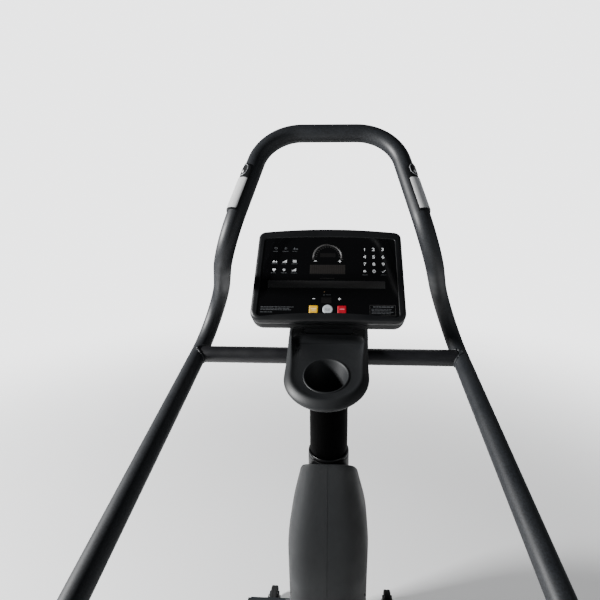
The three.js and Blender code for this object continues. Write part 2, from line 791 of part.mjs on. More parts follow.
function keyOutline(x, halfWidth, halfHeight, spare) {
  if (halfWidth === halfHeight) {
    return new THREE.Shape().absarc(x, KEY_Y, halfWidth + spare, 0, 2 * PI);
  }
  return roundedRectangle(
    x - halfWidth - spare, x + halfWidth + spare,
    KEY_Y - halfHeight - spare, KEY_Y + halfHeight + spare, 2,
  );
}

function displayOverlay() {
  const sheet = roundedRectangle(-SCREEN_HALF, SCREEN_HALF, SCREEN_LOW, SCREEN_HIGH, 8);
  const holes = keys.map(([, x, halfWidth, halfHeight]) => {
    const outline = keyOutline(x, halfWidth, halfHeight, 2 * GAP);
    return plate(outline, 20, { curveSegments: 4 }).translate(0, 0, -15);
  });
  return cut(plate(sheet, 3, { curveSegments: 3 }).translate(0, 0, -5), ...holes);
}

// The back shell: a full rim that rounds into a shallower back, hollow and open in front.
function shellForm(inset) {
  const edge = 26;
  const draw = 12;
  const depth = SHELL_DEPTH - inset;
  const geometry = new THREE.ExtrudeGeometry(faceOutline(inset), {
    depth: depth - edge, curveSegments: 3,
    bevelSize: draw, bevelOffset: -draw, bevelThickness: edge, bevelSegments: 2,
  });
  return geometry.translate(0, 0, -depth + edge);
}

function consoleBackShell() {
  const front = -BEZEL_DEPTH - GAP;
  return cut(
    common(shellForm(0), block(-200, 200, -200, 200, -90, front)),
    common(shellForm(3), block(-200, 200, -200, 200, -90, front + 5)),
  );
}

add('console_bezel', consoleBezel(), darkPlastic, face);
add('display_overlay', displayOverlay(), glossBlack, face);
add('console_circuit_board', block(-145, 145, -76, 104, -17, -15.4), boardGreen, face);
add('console_back_shell', consoleBackShell(), darkPlastic, face);
for (const [name, x, halfWidth, halfHeight, material] of keys) {
  const outline = keyOutline(x, halfWidth, halfHeight, 0);
  add(name, plate(outline, 12, { curveSegments: 4 }).translate(0, 0, -13), material, face);
}

// ---------------------------------------------------------------- pedal arms

// Built along -Y from the axle, then swung up to the rest angle by its group.
function pedalArm(side) {
  const half = ARM_WIDTH / 2;
  const height = ARM_HEIGHT / 2;
  const wall = 3;
  const x = side * ARM_X;
  const [p0, p1] = span(side, CHAIN_X - 8, ARM_X - half + 1);
  const bar = cut(
    block(x - half, x + half, -ARM_LENGTH + 14, -20, -height, height),
    block(x - half + wall, x + half - wall, -ARM_LENGTH, 0, -height + wall, height - wall),
  );
  const solid = join(
    bar,
    barX(33, x - half - 3, x + half + 3, 0, 0),
    barX(20, x - half - 2, x + half + 2, -ARM_LENGTH, 0),
    barX(CHAIN_PIN, p0, p1, -CHAIN_ARM, 0, 12),
  );
  return cut(
    solid,
    barX(AXLE_RADIUS + 0.6, x - 30, x + 30, 0, 0),
    barX(10.6, x - 30, x + 30, -ARM_LENGTH, 0),
  );
}

function levellingLink(side) {
  const x = side * ARM_X;
  const solid = join(
    block(x - 5, x + 5, -ARM_LENGTH, 0, -9, 9),
    barX(14, x - 6, x + 6, 0, 0, 16),
    barX(14, x - 6, x + 6, -ARM_LENGTH, 0, 16),
  );
  return cut(
    solid,
    barX(8.6, x - 10, x + 10, 0, 0, 16),
    barX(9, x - 10, x + 10, -ARM_LENGTH, 0, 16),
  );
}


// The platform, its lips and the clevis with its two pins, about the pedal pivot.
function pedal(side) {
  const [x0, x1] = span(side, PEDAL_X - PEDAL_HALF, PEDAL_X + PEDAL_HALF);
  const deck = PEDAL_DECK;
  const pieces = [
    plate(roundedRectangle(x0, x1, PEDAL_BACK, PEDAL_FRONT, 16), 8, { curveSegments: 3 })
      .translate(0, 0, deck),
    block(x0, x0 + 4, PEDAL_BACK + 16, PEDAL_FRONT - 16, deck + 4, deck + 24),
    block(x1 - 4, x1, PEDAL_BACK + 16, PEDAL_FRONT - 16, deck + 4, deck + 24),
    block(x0 + 16, x1 - 16, PEDAL_FRONT - 4, PEDAL_FRONT, deck + 4, deck + 40),
    barX(10, ...span(side, ARM_X - 23, ARM_X + 23), 0, 0, 16),
    barX(7, ...span(side, ARM_X - 23, ARM_X + 23), 0, -LINK_DROP, 16),
  ];
  for (const offset of [-20.5, 20.5]) {
    const [c0, c1] = span(side, ARM_X + offset - 2.5, ARM_X + offset + 2.5);
    const foot = -LINK_DROP - 14;
    const cheek = polygon([[-24, deck + 1], [-16, foot], [16, foot], [24, deck + 1]]);
    pieces.push(extrudeX(cheek, c0, c1));
  }
  return join(...pieces).translate(0, PEDAL.y, PEDAL.z);
}

function pedalPad(side) {
  const [x0, x1] = span(side, PEDAL_X - PEDAL_HALF + 5, PEDAL_X + PEDAL_HALF - 5);
  const bottom = PEDAL_DECK + 8 + GAP;
  const outline = roundedRectangle(x0, x1, PEDAL_BACK + 4, PEDAL_FRONT - 6, 12);
  const pad = plate(outline, 7, { curveSegments: 3 });
  return pad.translate(0, PEDAL.y, PEDAL.z + bottom);
}

function swungGroup(y, z) {
  const swung = new THREE.Group();
  swung.position.set(0, y, z);
  swung.rotation.x = -ARM_REST;
  group.add(swung);
  return swung;
}

add('pivot_axle', barX(AXLE_RADIUS, -158, 158, AXLE.y, AXLE.z), steel);
const armFrame = swungGroup(AXLE.y, AXLE.z);
const linkFrame = swungGroup(AXLE.y, AXLE.z - LINK_DROP);
for (const [name, side] of sides) {
  add(`${name}_pedal_arm`, pedalArm(side), powderCoat, armFrame);
  add(`${name}_levelling_link`, levellingLink(side), blackPaint, linkFrame);
  add(`${name}_pedal`, pedal(side), darkPlastic);
  add(`${name}_pedal_pad`, pedalPad(side), rubber);
}

// ---------------------------------------------------------------- drive

function sprocket(side) {
  const tooth = 2 * PI / SPROCKET_TEETH;
  const points = [];
  for (let i = 0; i < SPROCKET_TEETH; i += 1) {
    const angle = i * tooth;
    for (const [turn, radius] of [[-0.32, 25.5], [-0.12, 31], [0.12, 31], [0.32, 25.5]]) {
      const place = angle + turn * tooth;
      points.push([SHAFT.y + radius * Math.cos(place), SHAFT.z + radius * Math.sin(place)]);
    }
  }
  const [x0, x1] = span(side, CHAIN_X - 3, CHAIN_X + 3);
  const [h0, h1] = span(side, CHAIN_X - 5.5, CHAIN_X + 7);
  return cut(
    join(extrudeX(polygon(points), x0, x1), barX(18, h0, h1, SHAFT.y, SHAFT.z)),
    barX(SHAFT_RADIUS + 0.6, h0 - 5, h1 + 5, SHAFT.y, SHAFT.z),
  );
}

function flangeBearing(side) {
  const [f0, f1] = span(side, PLATE_X + PLATE + GAP, PLATE_X + PLATE + 6);
  const [h0, h1] = span(side, PLATE_X + PLATE + GAP, PLATE_X + PLATE + 12);
  const flange = roundedRectangle(SHAFT.y - 30, SHAFT.y + 30, SHAFT.z - 30, SHAFT.z + 30, 10);
  return cut(
    join(extrudeX(flange, f0, f1, { curveSegments: 3 }), barX(22, h0, h1, SHAFT.y, SHAFT.z)),
    barX(SHAFT_RADIUS + 0.6, h0 - 5, h1 + 5, SHAFT.y, SHAFT.z),
  );
}

function drivePulley() {
  const x0 = PULLEY_X - PULLEY_WIDTH / 2;
  const x1 = PULLEY_X + PULLEY_WIDTH / 2;
  const holes = [];
  for (let i = 0; i < 5; i += 1) {
    const angle = 2 * PI * i / 5;
    const y = SHAFT.y + 52 * Math.cos(angle);
    const z = SHAFT.z + 52 * Math.sin(angle);
    holes.push(barX(17, x0 - 1, x1 + 1, y, z, 8));
  }
  return cut(
    barX(PULLEY_RADIUS, x0, x1, SHAFT.y, SHAFT.z, 28),
    ringX(24, PULLEY_RADIUS - 8, x0 - 1, x0 + 8, SHAFT.y, SHAFT.z),
    ringX(24, PULLEY_RADIUS - 8, x1 - 8, x1 + 1, SHAFT.y, SHAFT.z),
    barX(SHAFT_RADIUS + GAP, x0 - 1, x1 + 1, SHAFT.y, SHAFT.z),
    ...holes,
  );
}

// The closed outline of a belt around two round pulleys, a given height above each.
function beltOutline(lift) {
  const dy = ALTERNATOR.y - SHAFT.y;
  const dz = ALTERNATOR.z - SHAFT.z;
  const line = Math.atan2(dz, dy);
  const lean = Math.acos((PULLEY_RADIUS - ALTERNATOR_PULLEY_RADIUS) / Math.hypot(dy, dz));
  const shape = new THREE.Shape();
  const small = ALTERNATOR_PULLEY_RADIUS + lift;
  shape.absarc(ALTERNATOR.y, ALTERNATOR.z, small, line - lean, line + lean);
  shape.absarc(SHAFT.y, SHAFT.z, PULLEY_RADIUS + lift, line + lean, line + 2 * PI - lean);
  return shape;
}

function driveBelt() {
  const outer = beltOutline(2 * GAP + BELT_THICKNESS);
  outer.holes.push(new THREE.Path(beltOutline(2 * GAP).getPoints(12).reverse()));
  return extrudeX(outer, PULLEY_X - 9, PULLEY_X + 9, { curveSegments: 12 });
}

function alternatorBody() {
  const x1 = PULLEY_X - PULLEY_WIDTH / 2 - 6;
  return cut(
    join(
      barX(ALTERNATOR_RADIUS, -54, x1, ALTERNATOR.y, ALTERNATOR.z, 20),
      barX(24, -PLATE_X + GAP, x1, ALTERNATOR.y, ALTERNATOR.z),
    ),
    barX(8.6, x1 - 30, x1 + 1, ALTERNATOR.y, ALTERNATOR.z, 16),
  );
}

function alternatorRotor() {
  const x0 = PULLEY_X - PULLEY_WIDTH / 2;
  return join(
    barX(ALTERNATOR_PULLEY_RADIUS, x0, x0 + PULLEY_WIDTH, ALTERNATOR.y, ALTERNATOR.z),
    barX(8, x0 - 34, x0 + 1, ALTERNATOR.y, ALTERNATOR.z, 16),
  );
}

// A plain length of roller chain between two heights.
function chainStrand(side, y, z0, z1) {
  const [x0, x1] = span(side, CHAIN_X - 5, CHAIN_X + 5);
  return block(x0, x1, y - 4, y + 4, z0, z1);
}

class SpringPath extends THREE.Curve {
  constructor(x, y, z0, z1, radius, turns) {
    super();
    Object.assign(this, { x, y, z0, z1, radius, turns });
  }

  getPoint(t) {
    const angle = 2 * PI * this.turns * t;
    return at(
      this.x + this.radius * Math.cos(angle),
      this.y + this.radius * Math.sin(angle),
      this.z0 + (this.z1 - this.z0) * t,
    );
  }
}

function returnSpring(side, z0, z1) {
  const turns = 8;
  const wire = new THREE.Shape().absarc(0, 0, 1.6, 0, 2 * PI);
  const y = SHAFT.y + SPROCKET_RADIUS;
  return new THREE.ExtrudeGeometry(wire, {
    steps: turns * 8, bevelEnabled: false, curveSegments: 2.5,
    extrudePath: new SpringPath(side * CHAIN_X, y, z0, z1, 9, turns),
  });
}

const pinTop = AXLE.z + CHAIN_ARM * Math.sin(ARM_REST) + CHAIN_PIN;

add('drive_shaft', barX(SHAFT_RADIUS, -97, 97, SHAFT.y, SHAFT.z), steel);
add('drive_pulley', drivePulley(), steel);
add('drive_belt', driveBelt(), rubber);
add('alternator_body', alternatorBody(), copper);
add('alternator_rotor', alternatorRotor(), steel);
for (const [name, side] of sides) {
  const front = SHAFT.y - SPROCKET_RADIUS;
  const back = SHAFT.y + SPROCKET_RADIUS;
  add(`${name}_sprocket`, sprocket(side), steel);
  add(`${name}_shaft_bearing`, flangeBearing(side), steel);
  add(`${name}_drive_chain`, chainStrand(side, front, pinTop + 1, CHAIN_TOP), steel);
  add(`${name}_return_chain`, chainStrand(side, back, SPRING_TOP + 3, CHAIN_TOP), steel);
  add(`${name}_return_spring`, returnSpring(side, SPRING_BOTTOM, SPRING_TOP), steel);
}

export default group;
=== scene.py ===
import math
import random

import bmesh
import bpy
from mathutils import Matrix, Vector


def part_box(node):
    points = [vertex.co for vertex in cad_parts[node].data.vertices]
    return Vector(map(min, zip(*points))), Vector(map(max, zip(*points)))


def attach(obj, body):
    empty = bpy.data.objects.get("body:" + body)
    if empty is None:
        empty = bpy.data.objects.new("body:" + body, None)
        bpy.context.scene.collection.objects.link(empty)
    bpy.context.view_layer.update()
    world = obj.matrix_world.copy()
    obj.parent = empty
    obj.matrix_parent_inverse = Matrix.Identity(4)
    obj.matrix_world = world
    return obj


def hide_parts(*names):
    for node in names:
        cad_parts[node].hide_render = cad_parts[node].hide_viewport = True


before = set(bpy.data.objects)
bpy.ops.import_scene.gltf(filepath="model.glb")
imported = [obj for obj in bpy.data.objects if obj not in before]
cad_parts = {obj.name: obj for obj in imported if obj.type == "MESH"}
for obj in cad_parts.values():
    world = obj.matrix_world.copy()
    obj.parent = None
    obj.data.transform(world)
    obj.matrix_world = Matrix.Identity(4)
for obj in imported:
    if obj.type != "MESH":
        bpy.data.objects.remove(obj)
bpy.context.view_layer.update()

random.seed(7)
TAU = 2 * math.pi
SIDES = (("left", -1), ("right", 1))

# ---------------------------------------------------------------- driving sizes, in metres

RAIL_RADIUS = 0.01905
RAIL_WALL = 0.0026
RAIL_BEND = 0.100
RAIL_TOP_CORNER = Vector((0.139, 0.299, 1.7175))
RAIL_KNEE = Vector((0.205, 0.1345, 1.483))
RAIL_ELBOW = Vector((0.299, 0.399, 1.276))
RAIL_LOW = Vector((0.327, -0.400, 1.019))
RAIL_SPLIT_Y = -0.300
LEG_CORNER_Y = -0.440
LEG_BEND = 0.150
LEG_FOOT = Vector((0.345, -0.590, 0.099))
CROSSBAR = Vector((0, 0.224, 1.2196))
MAST_Y = 0.300
MAST_RADIUS = 0.050

TRAY_TILT = math.radians(18)
TRAY_ORIGIN = (0, 0.116, 1.224)
TRAY_FRAME = Matrix.Translation(TRAY_ORIGIN) @ Matrix.Rotation(TRAY_TILT, 4, "X")
TRAY_HALF = 0.090
TRAY_FRONT = -0.080
TRAY_BACK = 0.255
TRAY_CORNER = 0.025
CUP = Vector((0, 0.120, 1.224))
CUP_RADIUS = 0.045
CUP_DEPTH = 0.060
AXLE = Vector((0, 0.420, 0.190))

FACE_TILT = math.radians(48.7)
FACE_ORIGIN = (0, 0.250, 1.394)
FACE_FRAME = Matrix.Translation(FACE_ORIGIN) @ Matrix.Rotation(FACE_TILT, 4, "X")
FACE_HALF = 0.1735
FACE_LOW = -0.100
FACE_HIGH = 0.136
SCREEN_HALF = 0.157
SCREEN_HIGH = 0.115
SCREEN_DROP = 0.0020
SHELL_DEPTH = 0.062
KEY_Y = -0.0715
KEY_SPACING = 0.0315
KEYS = (  # across, half width, half height, corner radius
    (-KEY_SPACING, 0.0100, 0.0095, 0.0022),
    (0, 0.0115, 0.0115, 0.0114),
    (KEY_SPACING, 0.0100, 0.0095, 0.0022),
)
WELD = 0.0024

# ---------------------------------------------------------------- even steps

def between(low, high, count):
    """Evenly spaced values from low to high, with both ends."""
    return [low + (high - low) * i / count for i in range(count + 1)]


def around(count):
    """Evenly spaced angles once round a circle."""
    return [TAU * i / count for i in range(count)]


def ring_points(radius, count, z=0.0):
    return [Vector((radius * math.cos(a), radius * math.sin(a), z)) for a in around(count)]


# ---------------------------------------------------------------- camera and stage

CAMERA_PLACE = (0.028, -0.642, 1.600)
CAMERA_TURN = (math.radians(90 - 13.7), 0, math.radians(2.3))
WORLD_SEEN = 3.2
WORLD_SIDES = 0.20
WORLD_OVERHEAD = 0.06
FLOOR_RADIUS = 7.0
FLOOR_GLOW = 0.30


def make_camera():
    data = bpy.data.cameras.new("camera")
    data.sensor_width = 36
    data.lens = 24
    data.shift_x = -0.0417
    data.shift_y = -0.0242
    data.clip_start = 0.02
    camera = bpy.data.objects.new("camera", data)
    camera.location = CAMERA_PLACE
    camera.rotation_euler = CAMERA_TURN
    bpy.context.collection.objects.link(camera)
    bpy.context.scene.camera = camera


def area_light(name, place, target, width, height, power):
    data = bpy.data.lights.new(name, "AREA")
    data.shape = "RECTANGLE"
    data.size = width
    data.size_y = height
    data.energy = power
    light = bpy.data.objects.new(name, data)
    light.location = place
    aim = Vector(target) - Vector(place)
    light.rotation_euler = aim.to_track_quat("-Z", "Y").to_euler()
    bpy.context.collection.objects.link(light)


def add_node(tree, kind, inputs=None, **settings):
    """A new node with its own settings and the values of its inputs."""
    node = tree.nodes.new(kind)
    for setting, value in settings.items():
        setattr(node, setting, value)
    for socket, value in (inputs or {}).items():
        node.inputs[socket].default_value = value
    return node


def make_world():
    """Pale where the camera sees it; as a light it is softer, and darker overhead."""
    world = bpy.data.worlds.new("studio")
    bpy.context.scene.world = world
    world.use_nodes = True
    tree = world.node_tree
    tree.nodes.clear()
    seen = add_node(tree, "ShaderNodeBackground",
                    {"Color": (0.985, 0.99, 1.0, 1), "Strength": WORLD_SEEN})
    lit = add_node(tree, "ShaderNodeBackground", {"Color": (0.90, 0.95, 1.0, 1)})
    ramp = add_node(tree, "ShaderNodeMapRange", {
        "From Min": 0.10, "From Max": 0.75, "To Min": WORLD_SIDES, "To Max": WORLD_OVERHEAD})
    path = add_node(tree, "ShaderNodeLightPath")
    place = add_node(tree, "ShaderNodeTexCoord")
    split = add_node(tree, "ShaderNodeSeparateXYZ")
    mix = add_node(tree, "ShaderNodeMixShader")
    out = add_node(tree, "ShaderNodeOutputWorld")
    link = tree.links.new
    link(place.outputs["Generated"], split.inputs[0])
    link(split.outputs["Z"], ramp.inputs["Value"])
    link(ramp.outputs["Result"], lit.inputs["Strength"])
    link(path.outputs["Is Camera Ray"], mix.inputs[0])
    link(lit.outputs[0], mix.inputs[1])
    link(seen.outputs[0], mix.inputs[2])
    link(mix.outputs[0], out.inputs[0])


def make_floor():
    """A pale disc that fades into the background before its edge."""
    rim = 96
    verts = [Vector((0, 0, 0))] + ring_points(FLOOR_RADIUS, rim)
    faces = [(0, i + 1, (i + 1) % rim + 1) for i in range(rim)]
    mesh = bpy.data.meshes.new("floor")
    mesh.from_pydata([tuple(v) for v in verts], [], faces)
    floor = bpy.data.objects.new("floor", mesh)
    bpy.context.collection.objects.link(floor)
    paint = bpy.data.materials.new("floor_paint")
    paint.use_nodes = True
    tree = paint.node_tree
    shader, out = tree.nodes["Principled BSDF"], tree.nodes["Material Output"]
    shader.inputs["Base Color"].default_value = (0.86, 0.865, 0.87, 1)
    shader.inputs["Roughness"].default_value = 0.75
    shader.inputs["Emission Color"].default_value = (1, 1, 1, 1)
    shader.inputs["Emission Strength"].default_value = FLOOR_GLOW
    place = add_node(tree, "ShaderNodeTexCoord")
    length = add_node(tree, "ShaderNodeVectorMath", operation="LENGTH")
    fade = add_node(tree, "ShaderNodeMapRange", {"From Min": 1.3, "From Max": 4.5},
                    interpolation_type="SMOOTHSTEP")
    clear = add_node(tree, "ShaderNodeBsdfTransparent")
    mix = add_node(tree, "ShaderNodeMixShader")
    link = tree.links.new
    link(place.outputs["Object"], length.inputs[0])
    link(length.outputs["Value"], fade.inputs["Value"])
    link(fade.outputs["Result"], mix.inputs[0])
    link(shader.outputs[0], mix.inputs[1])
    link(clear.outputs[0], mix.inputs[2])
    link(mix.outputs[0], out.inputs["Surface"])
    mesh.materials.append(paint)


make_camera()
make_world()
make_floor()
area_light("key_light", (-3.1, -0.5, 2.3), (0, 0.15, 1.2), 0.5, 0.5, 300)
area_light("fill_light", (2.3, -1.4, 1.9), (0, 0.1, 0.9), 1.6, 1.6, 5)
area_light("back_light", (0.5, 3.0, 2.2), (0, 0.3, 1.1), 2.6, 1.4, 16)

# ---------------------------------------------------------------- materials

def srgb(*parts):
    """A colour given as 0 to 255 screen values, as the linear values that a shader takes."""
    line = [p / 255 for p in parts]
    return tuple(p / 12.92 if p <= 0.04045 else ((p + 0.055) / 1.055) ** 2.4 for p in line) + (1,)


class Finish:
    """A node material: base colour mottled by noise, noise on roughness, and fine bump."""

    def __init__(self, name, colour, rough, metal=0.0):
        self.material = bpy.data.materials.new(name)
        self.material.use_nodes = True
        self.tree = self.material.node_tree
        self.link = self.tree.links.new
        self.shader = self.tree.nodes["Principled BSDF"]
        self.colour = colour
        self.rough = rough
        self.height = None
        self.shader.inputs["Base Color"].default_value = colour
        self.shader.inputs["Roughness"].default_value = rough
        self.shader.inputs["Metallic"].default_value = metal
        self.place = add_node(self.tree, "ShaderNodeTexCoord").outputs["Object"]

    def noise(self, scale, detail=3.0, stretch=(1, 1, 1)):
        mapping = add_node(self.tree, "ShaderNodeMapping", {"Scale": stretch})
        noise = add_node(self.tree, "ShaderNodeTexNoise", {"Scale": scale, "Detail": detail})
        self.link(self.place, mapping.inputs["Vector"])
        self.link(mapping.outputs[0], noise.inputs["Vector"])
        return noise.outputs["Fac"]

    def cells(self, scale):
        voronoi = add_node(self.tree, "ShaderNodeTexVoronoi", {"Scale": scale}, feature="F1")
        self.link(self.place, voronoi.inputs["Vector"])
        return voronoi.outputs["Distance"]

    def spread(self, value, low, high, start=0.3, end=0.7):
        spread = add_node(self.tree, "ShaderNodeMapRange", {
            "From Min": start, "From Max": end, "To Min": low, "To Max": high})
        self.link(value, spread.inputs["Value"])
        return spread.outputs["Result"]

    def mottle(self, scale, amount, tint=(1, 1, 1), stretch=(1, 1, 1)):
        """Varies the base colour between darker and lighter patches."""
        dark = [c * (1 - amount) for c in self.colour[:3]]
        light = [c * (1 + amount) * t for c, t in zip(self.colour[:3], tint)]
        mix = add_node(self.tree, "ShaderNodeMix", {6: (*dark, 1), 7: (*light, 1)},
                       data_type="RGBA")
        self.link(self.spread(self.noise(scale, 4, stretch), 0, 1, 0.35, 0.65), mix.inputs[0])
        self.link(mix.outputs[2], self.shader.inputs["Base Color"])
        return self

    def worn(self, scale, amount):
        """Varies the roughness with handling and dust."""
        value = self.spread(self.noise(scale, 5), self.rough - amount, self.rough + amount)
        self.link(value, self.shader.inputs["Roughness"])
        return self

    def bump(self, value, strength, depth):
        """Adds fine relief on top of the relief that is there already."""
        bump = add_node(self.tree, "ShaderNodeBump", {"Strength": strength, "Distance": depth})
        self.link(value, bump.inputs["Height"])
        if self.height is not None:
            self.link(self.height, bump.inputs["Normal"])
        self.height = bump.outputs["Normal"]
        self.link(self.height, self.shader.inputs["Normal"])
        return self

    def gloss(self, level):
        self.shader.inputs["Specular IOR Level"].default_value = level
        return self


def powder_coat(name, colour, rough=0.52, gloss=0.5):
    finish = Finish(name, colour, rough)
    finish.mottle(420, 0.45, (1.0, 1.02, 1.06)).worn(22, 0.07)
    finish.bump(finish.noise(900, 2), 0.40, 0.00014)
    finish.bump(finish.noise(260, 3), 0.15, 0.0002)
    return finish.gloss(gloss).material


def moulded(name, colour, rough=0.55, grain=1400):
    finish = Finish(name, colour, rough)
    finish.mottle(9, 0.07).worn(16, 0.06)
    finish.bump(finish.cells(grain), 0.30, 0.00010)
    return finish.material


def brushed(name, colour, rough, stretch, metal=1.0):
    finish = Finish(name, colour, rough, metal)
    finish.mottle(60, 0.06, stretch=stretch).worn(40, 0.06)
    finish.bump(finish.noise(700, 3, stretch), 0.25, 0.00006)
    return finish.material


def rubber_like(name, colour, rough=0.8):
    finish = Finish(name, colour, rough)
    finish.mottle(40, 0.18).worn(30, 0.08)
    finish.bump(finish.noise(900, 4), 0.4, 0.00015)
    return finish.gloss(0.35).material


def printed(name, colour, rough=0.35):
    finish = Finish(name, colour, rough)
    finish.mottle(120, 0.05)
    return finish.material


def gloss_sheet(name, colour):
    finish = Finish(name, colour, 0.09)
    finish.worn(7, 0.03)
    finish.bump(finish.noise(35, 2), 0.04, 0.0002)
    return finish.gloss(0.45).material


RAIL_PAINT = powder_coat("rail_powder_coat", srgb(29, 31, 34))
BAR_PAINT = powder_coat("crossbar_powder_coat", srgb(19, 19, 22), 0.46)
BASE_PAINT = powder_coat("base_powder_coat", srgb(31, 33, 36), 0.46)
BLACK_PAINT = powder_coat("black_paint", srgb(11, 11, 12), 0.40)
# The mast's near-zero colour is partly its own black paint and partly painted shade, for the shadow
# that the tray casts on it.
MAST_BLACK_AND_SHADE = powder_coat("mast_black_and_painted_shade", srgb(1, 1, 1), 0.50, 0.02)
TRAY_PLASTIC = moulded("tray_plastic", srgb(22, 24, 26), 0.56, 1500)
BEZEL_PLASTIC = moulded("bezel_plastic", srgb(13, 14, 16), 0.42, 1700)
SHROUD_PLASTIC = moulded("shroud_plastic", srgb(21, 23, 25), 0.56, 1100)
DARK_PLASTIC = moulded("dark_plastic", srgb(29, 31, 33), 0.55)
OVERLAY = gloss_sheet("overlay_gloss_black", srgb(7, 7, 8))
WINDOW = printed("window_smoked", srgb(19, 18, 18), 0.3)
STRIP_WINDOW = printed("strip_window", srgb(48, 48, 48), 0.3)
LED_OFF = printed("led_unlit", srgb(46, 43, 41), 0.3)
STRIP_LED_OFF = printed("strip_led_unlit", srgb(54, 53, 52), 0.3)
PRINT_WHITE = printed("print_white", srgb(244, 246, 248))
PRINT_GREY = printed("print_grey", srgb(88, 90, 93))
PRINT_DIM = printed("print_dim", srgb(62, 61, 61))
PRINT_FAINT = printed("print_faint", srgb(38, 37, 37))
LAMP = printed("lamp_unlit", srgb(120, 96, 70))
KEY_PRINT_PALE = printed("key_print_pale", srgb(252, 236, 190))
KEY_PRINT_ROSE = printed("key_print_rose", srgb(226, 120, 136))
KEY_PRINT_GREY = printed("key_print_grey", srgb(118, 124, 128))
YELLOW = printed("key_yellow", srgb(238, 184, 34), 0.42)
SILVER = printed("key_silver", srgb(186, 192, 195), 0.34)
RED = printed("key_red", srgb(176, 8, 34), 0.40)
CONTACT_STEEL = brushed("contact_steel", srgb(244, 244, 244), 0.30, (12, 12, 0.6), 0.35)
STEEL_X = brushed("turned_steel", srgb(180, 182, 184), 0.32, (14, 1, 1))
CASTING = brushed("cast_aluminium", srgb(168, 168, 166), 0.5, (1, 1, 1))
SHELL_PLASTIC = moulded("back_shell_plastic", srgb(17, 18, 20), 0.58, 1000)
SCREW_BLACK = brushed("black_oxide_screw", srgb(52, 52, 54), 0.38, (1, 1, 1))
GLOSS_PLASTIC = moulded("gloss_plastic", srgb(22, 23, 25), 0.32, 2000)
SATIN_GREY = brushed("satin_grey", srgb(176, 178, 181), 0.35, (1, 1, 1), 0.4)
BRONZE = brushed("bronze_bush", srgb(168, 128, 84), 0.4, (1, 1, 1))
COLLAR_RUBBER = rubber_like("collar_rubber", srgb(4, 4, 5), 0.32)
RUBBER = rubber_like("rubber", srgb(30, 31, 32))
BELT_RUBBER = rubber_like("belt_rubber", srgb(22, 22, 23), 0.7)
BOARD = moulded("circuit_board_green", srgb(22, 84, 52), 0.4, 300)
ZINC = brushed("zinc_fastener", srgb(190, 190, 186), 0.36, (3, 3, 1))

# ---------------------------------------------------------------- mesh helpers

def sharpen(mesh, angle=34):
    """Smooth shading with hard edges where the surface turns by more than the angle."""
    limit = math.radians(angle)
    work = bmesh.new()
    work.from_mesh(mesh)
    for face in work.faces:
        face.smooth = True
    for edge in work.edges:
        if len(edge.link_faces) == 2:
            edge.smooth = edge.calc_face_angle(0) < limit
    work.to_mesh(mesh)
    work.free()


def new_object(name, verts, faces, matrix=None, weld=False):
    """An object with outward faces; weld joins vertices that lie on each other."""
    mesh = bpy.data.meshes.new(name)
    mesh.from_pydata([tuple(v) for v in verts], [], faces)
    if matrix is not None:
        mesh.transform(matrix)
    work = bmesh.new()
    work.from_mesh(mesh)
    if weld:
        bmesh.ops.remove_doubles(work, verts=work.verts, dist=1e-7)
    bmesh.ops.recalc_face_normals(work, faces=work.faces)
    work.to_mesh(mesh)
    work.free()
    made = bpy.data.objects.new(name, mesh)
    bpy.context.collection.objects.link(made)
    return made


def piece(name, verts, faces, material, body="root", matrix=None, replaces=(), slot=None, angle=34):
    made = new_object(name, verts, faces, matrix, weld=True)
    sharpen(made.data, angle)
    made.data.materials.append(material)
    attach(made, body)
    if replaces:
        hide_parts(*replaces)
    return made


def loft_data(rings, caps=True, closed=False):
    """Vertices and faces of a surface through rings of equal length."""
    count = len(rings[0])
    verts = [Vector(v) for ring in rings for v in ring]
    faces = []
    last = len(rings) if closed else len(rings) - 1
    for i in range(last):
        a, b = i * count, (i + 1) % len(rings) * count
        for j in range(count):
            k = (j + 1) % count
            faces.append((a + j, a + k, b + k, b + j))
    if caps and not closed:
        faces.append(tuple(reversed(range(count))))
        faces.append(tuple(range((len(rings) - 1) * count, len(rings) * count)))
    return verts, faces


def joined(bodies):
    """Several bodies' vertices and faces as one."""
    verts, faces = [], []
    for more, extra in bodies:
        faces += [tuple(i + len(verts) for i in face) for face in extra]
        verts += more
    return verts, faces


def loft(name, rings, material, closed=False, **rest):
    return piece(name, *loft_data(rings, closed=closed), material, **rest)


def prism_tool(name, points, z0, z1, matrix):
    """A cutter from a plan, between two heights in the frame of the matrix."""
    rings = [[matrix @ p for p in lift(points, z)] for z in (z0, z1)]
    return new_object(name, *loft_data(rings))


def apply_modifiers(obj):
    graph = bpy.context.evaluated_depsgraph_get()
    mesh = bpy.data.meshes.new_from_object(obj.evaluated_get(graph))
    obj.modifiers.clear()
    obj.data = mesh


def carve(obj, tools, angle=34):
    """Cuts each tool out of obj and removes the tool."""
    for tool in tools:
        change = obj.modifiers.new("cut", "BOOLEAN")
        change.object = tool
        change.solver = "EXACT"
    apply_modifiers(obj)
    for tool in tools:
        bpy.data.objects.remove(tool)
    sharpen(obj.data, angle)


def bevel(obj, width, segments, angle):
    """Rounds the edges that turn by more than the angle."""
    change = obj.modifiers.new("rounded_edges", "BEVEL")
    change.width = width
    change.segments = segments
    change.limit_method = "ANGLE"
    change.angle_limit = math.radians(angle)
    return change


def round_off(obj, width, segments):
    bevel(obj, width, segments, 30).harden_normals = True


AXES = {
    "x": Matrix(((0, 0, 1, 0), (1, 0, 0, 0), (0, 1, 0, 0), (0, 0, 0, 1))),
    "y": Matrix(((1, 0, 0, 0), (0, 0, 1, 0), (0, -1, 0, 0), (0, 0, 0, 1))),
    "z": Matrix.Identity(4),
}


def turned_data(profile, count=64, closed=False):
    """A turned body about Z from (radius, height) pairs; a closed profile makes a ring."""
    rings = [ring_points(max(radius, 1e-5), count, height) for radius, height in profile]
    return loft_data(rings, closed=closed)


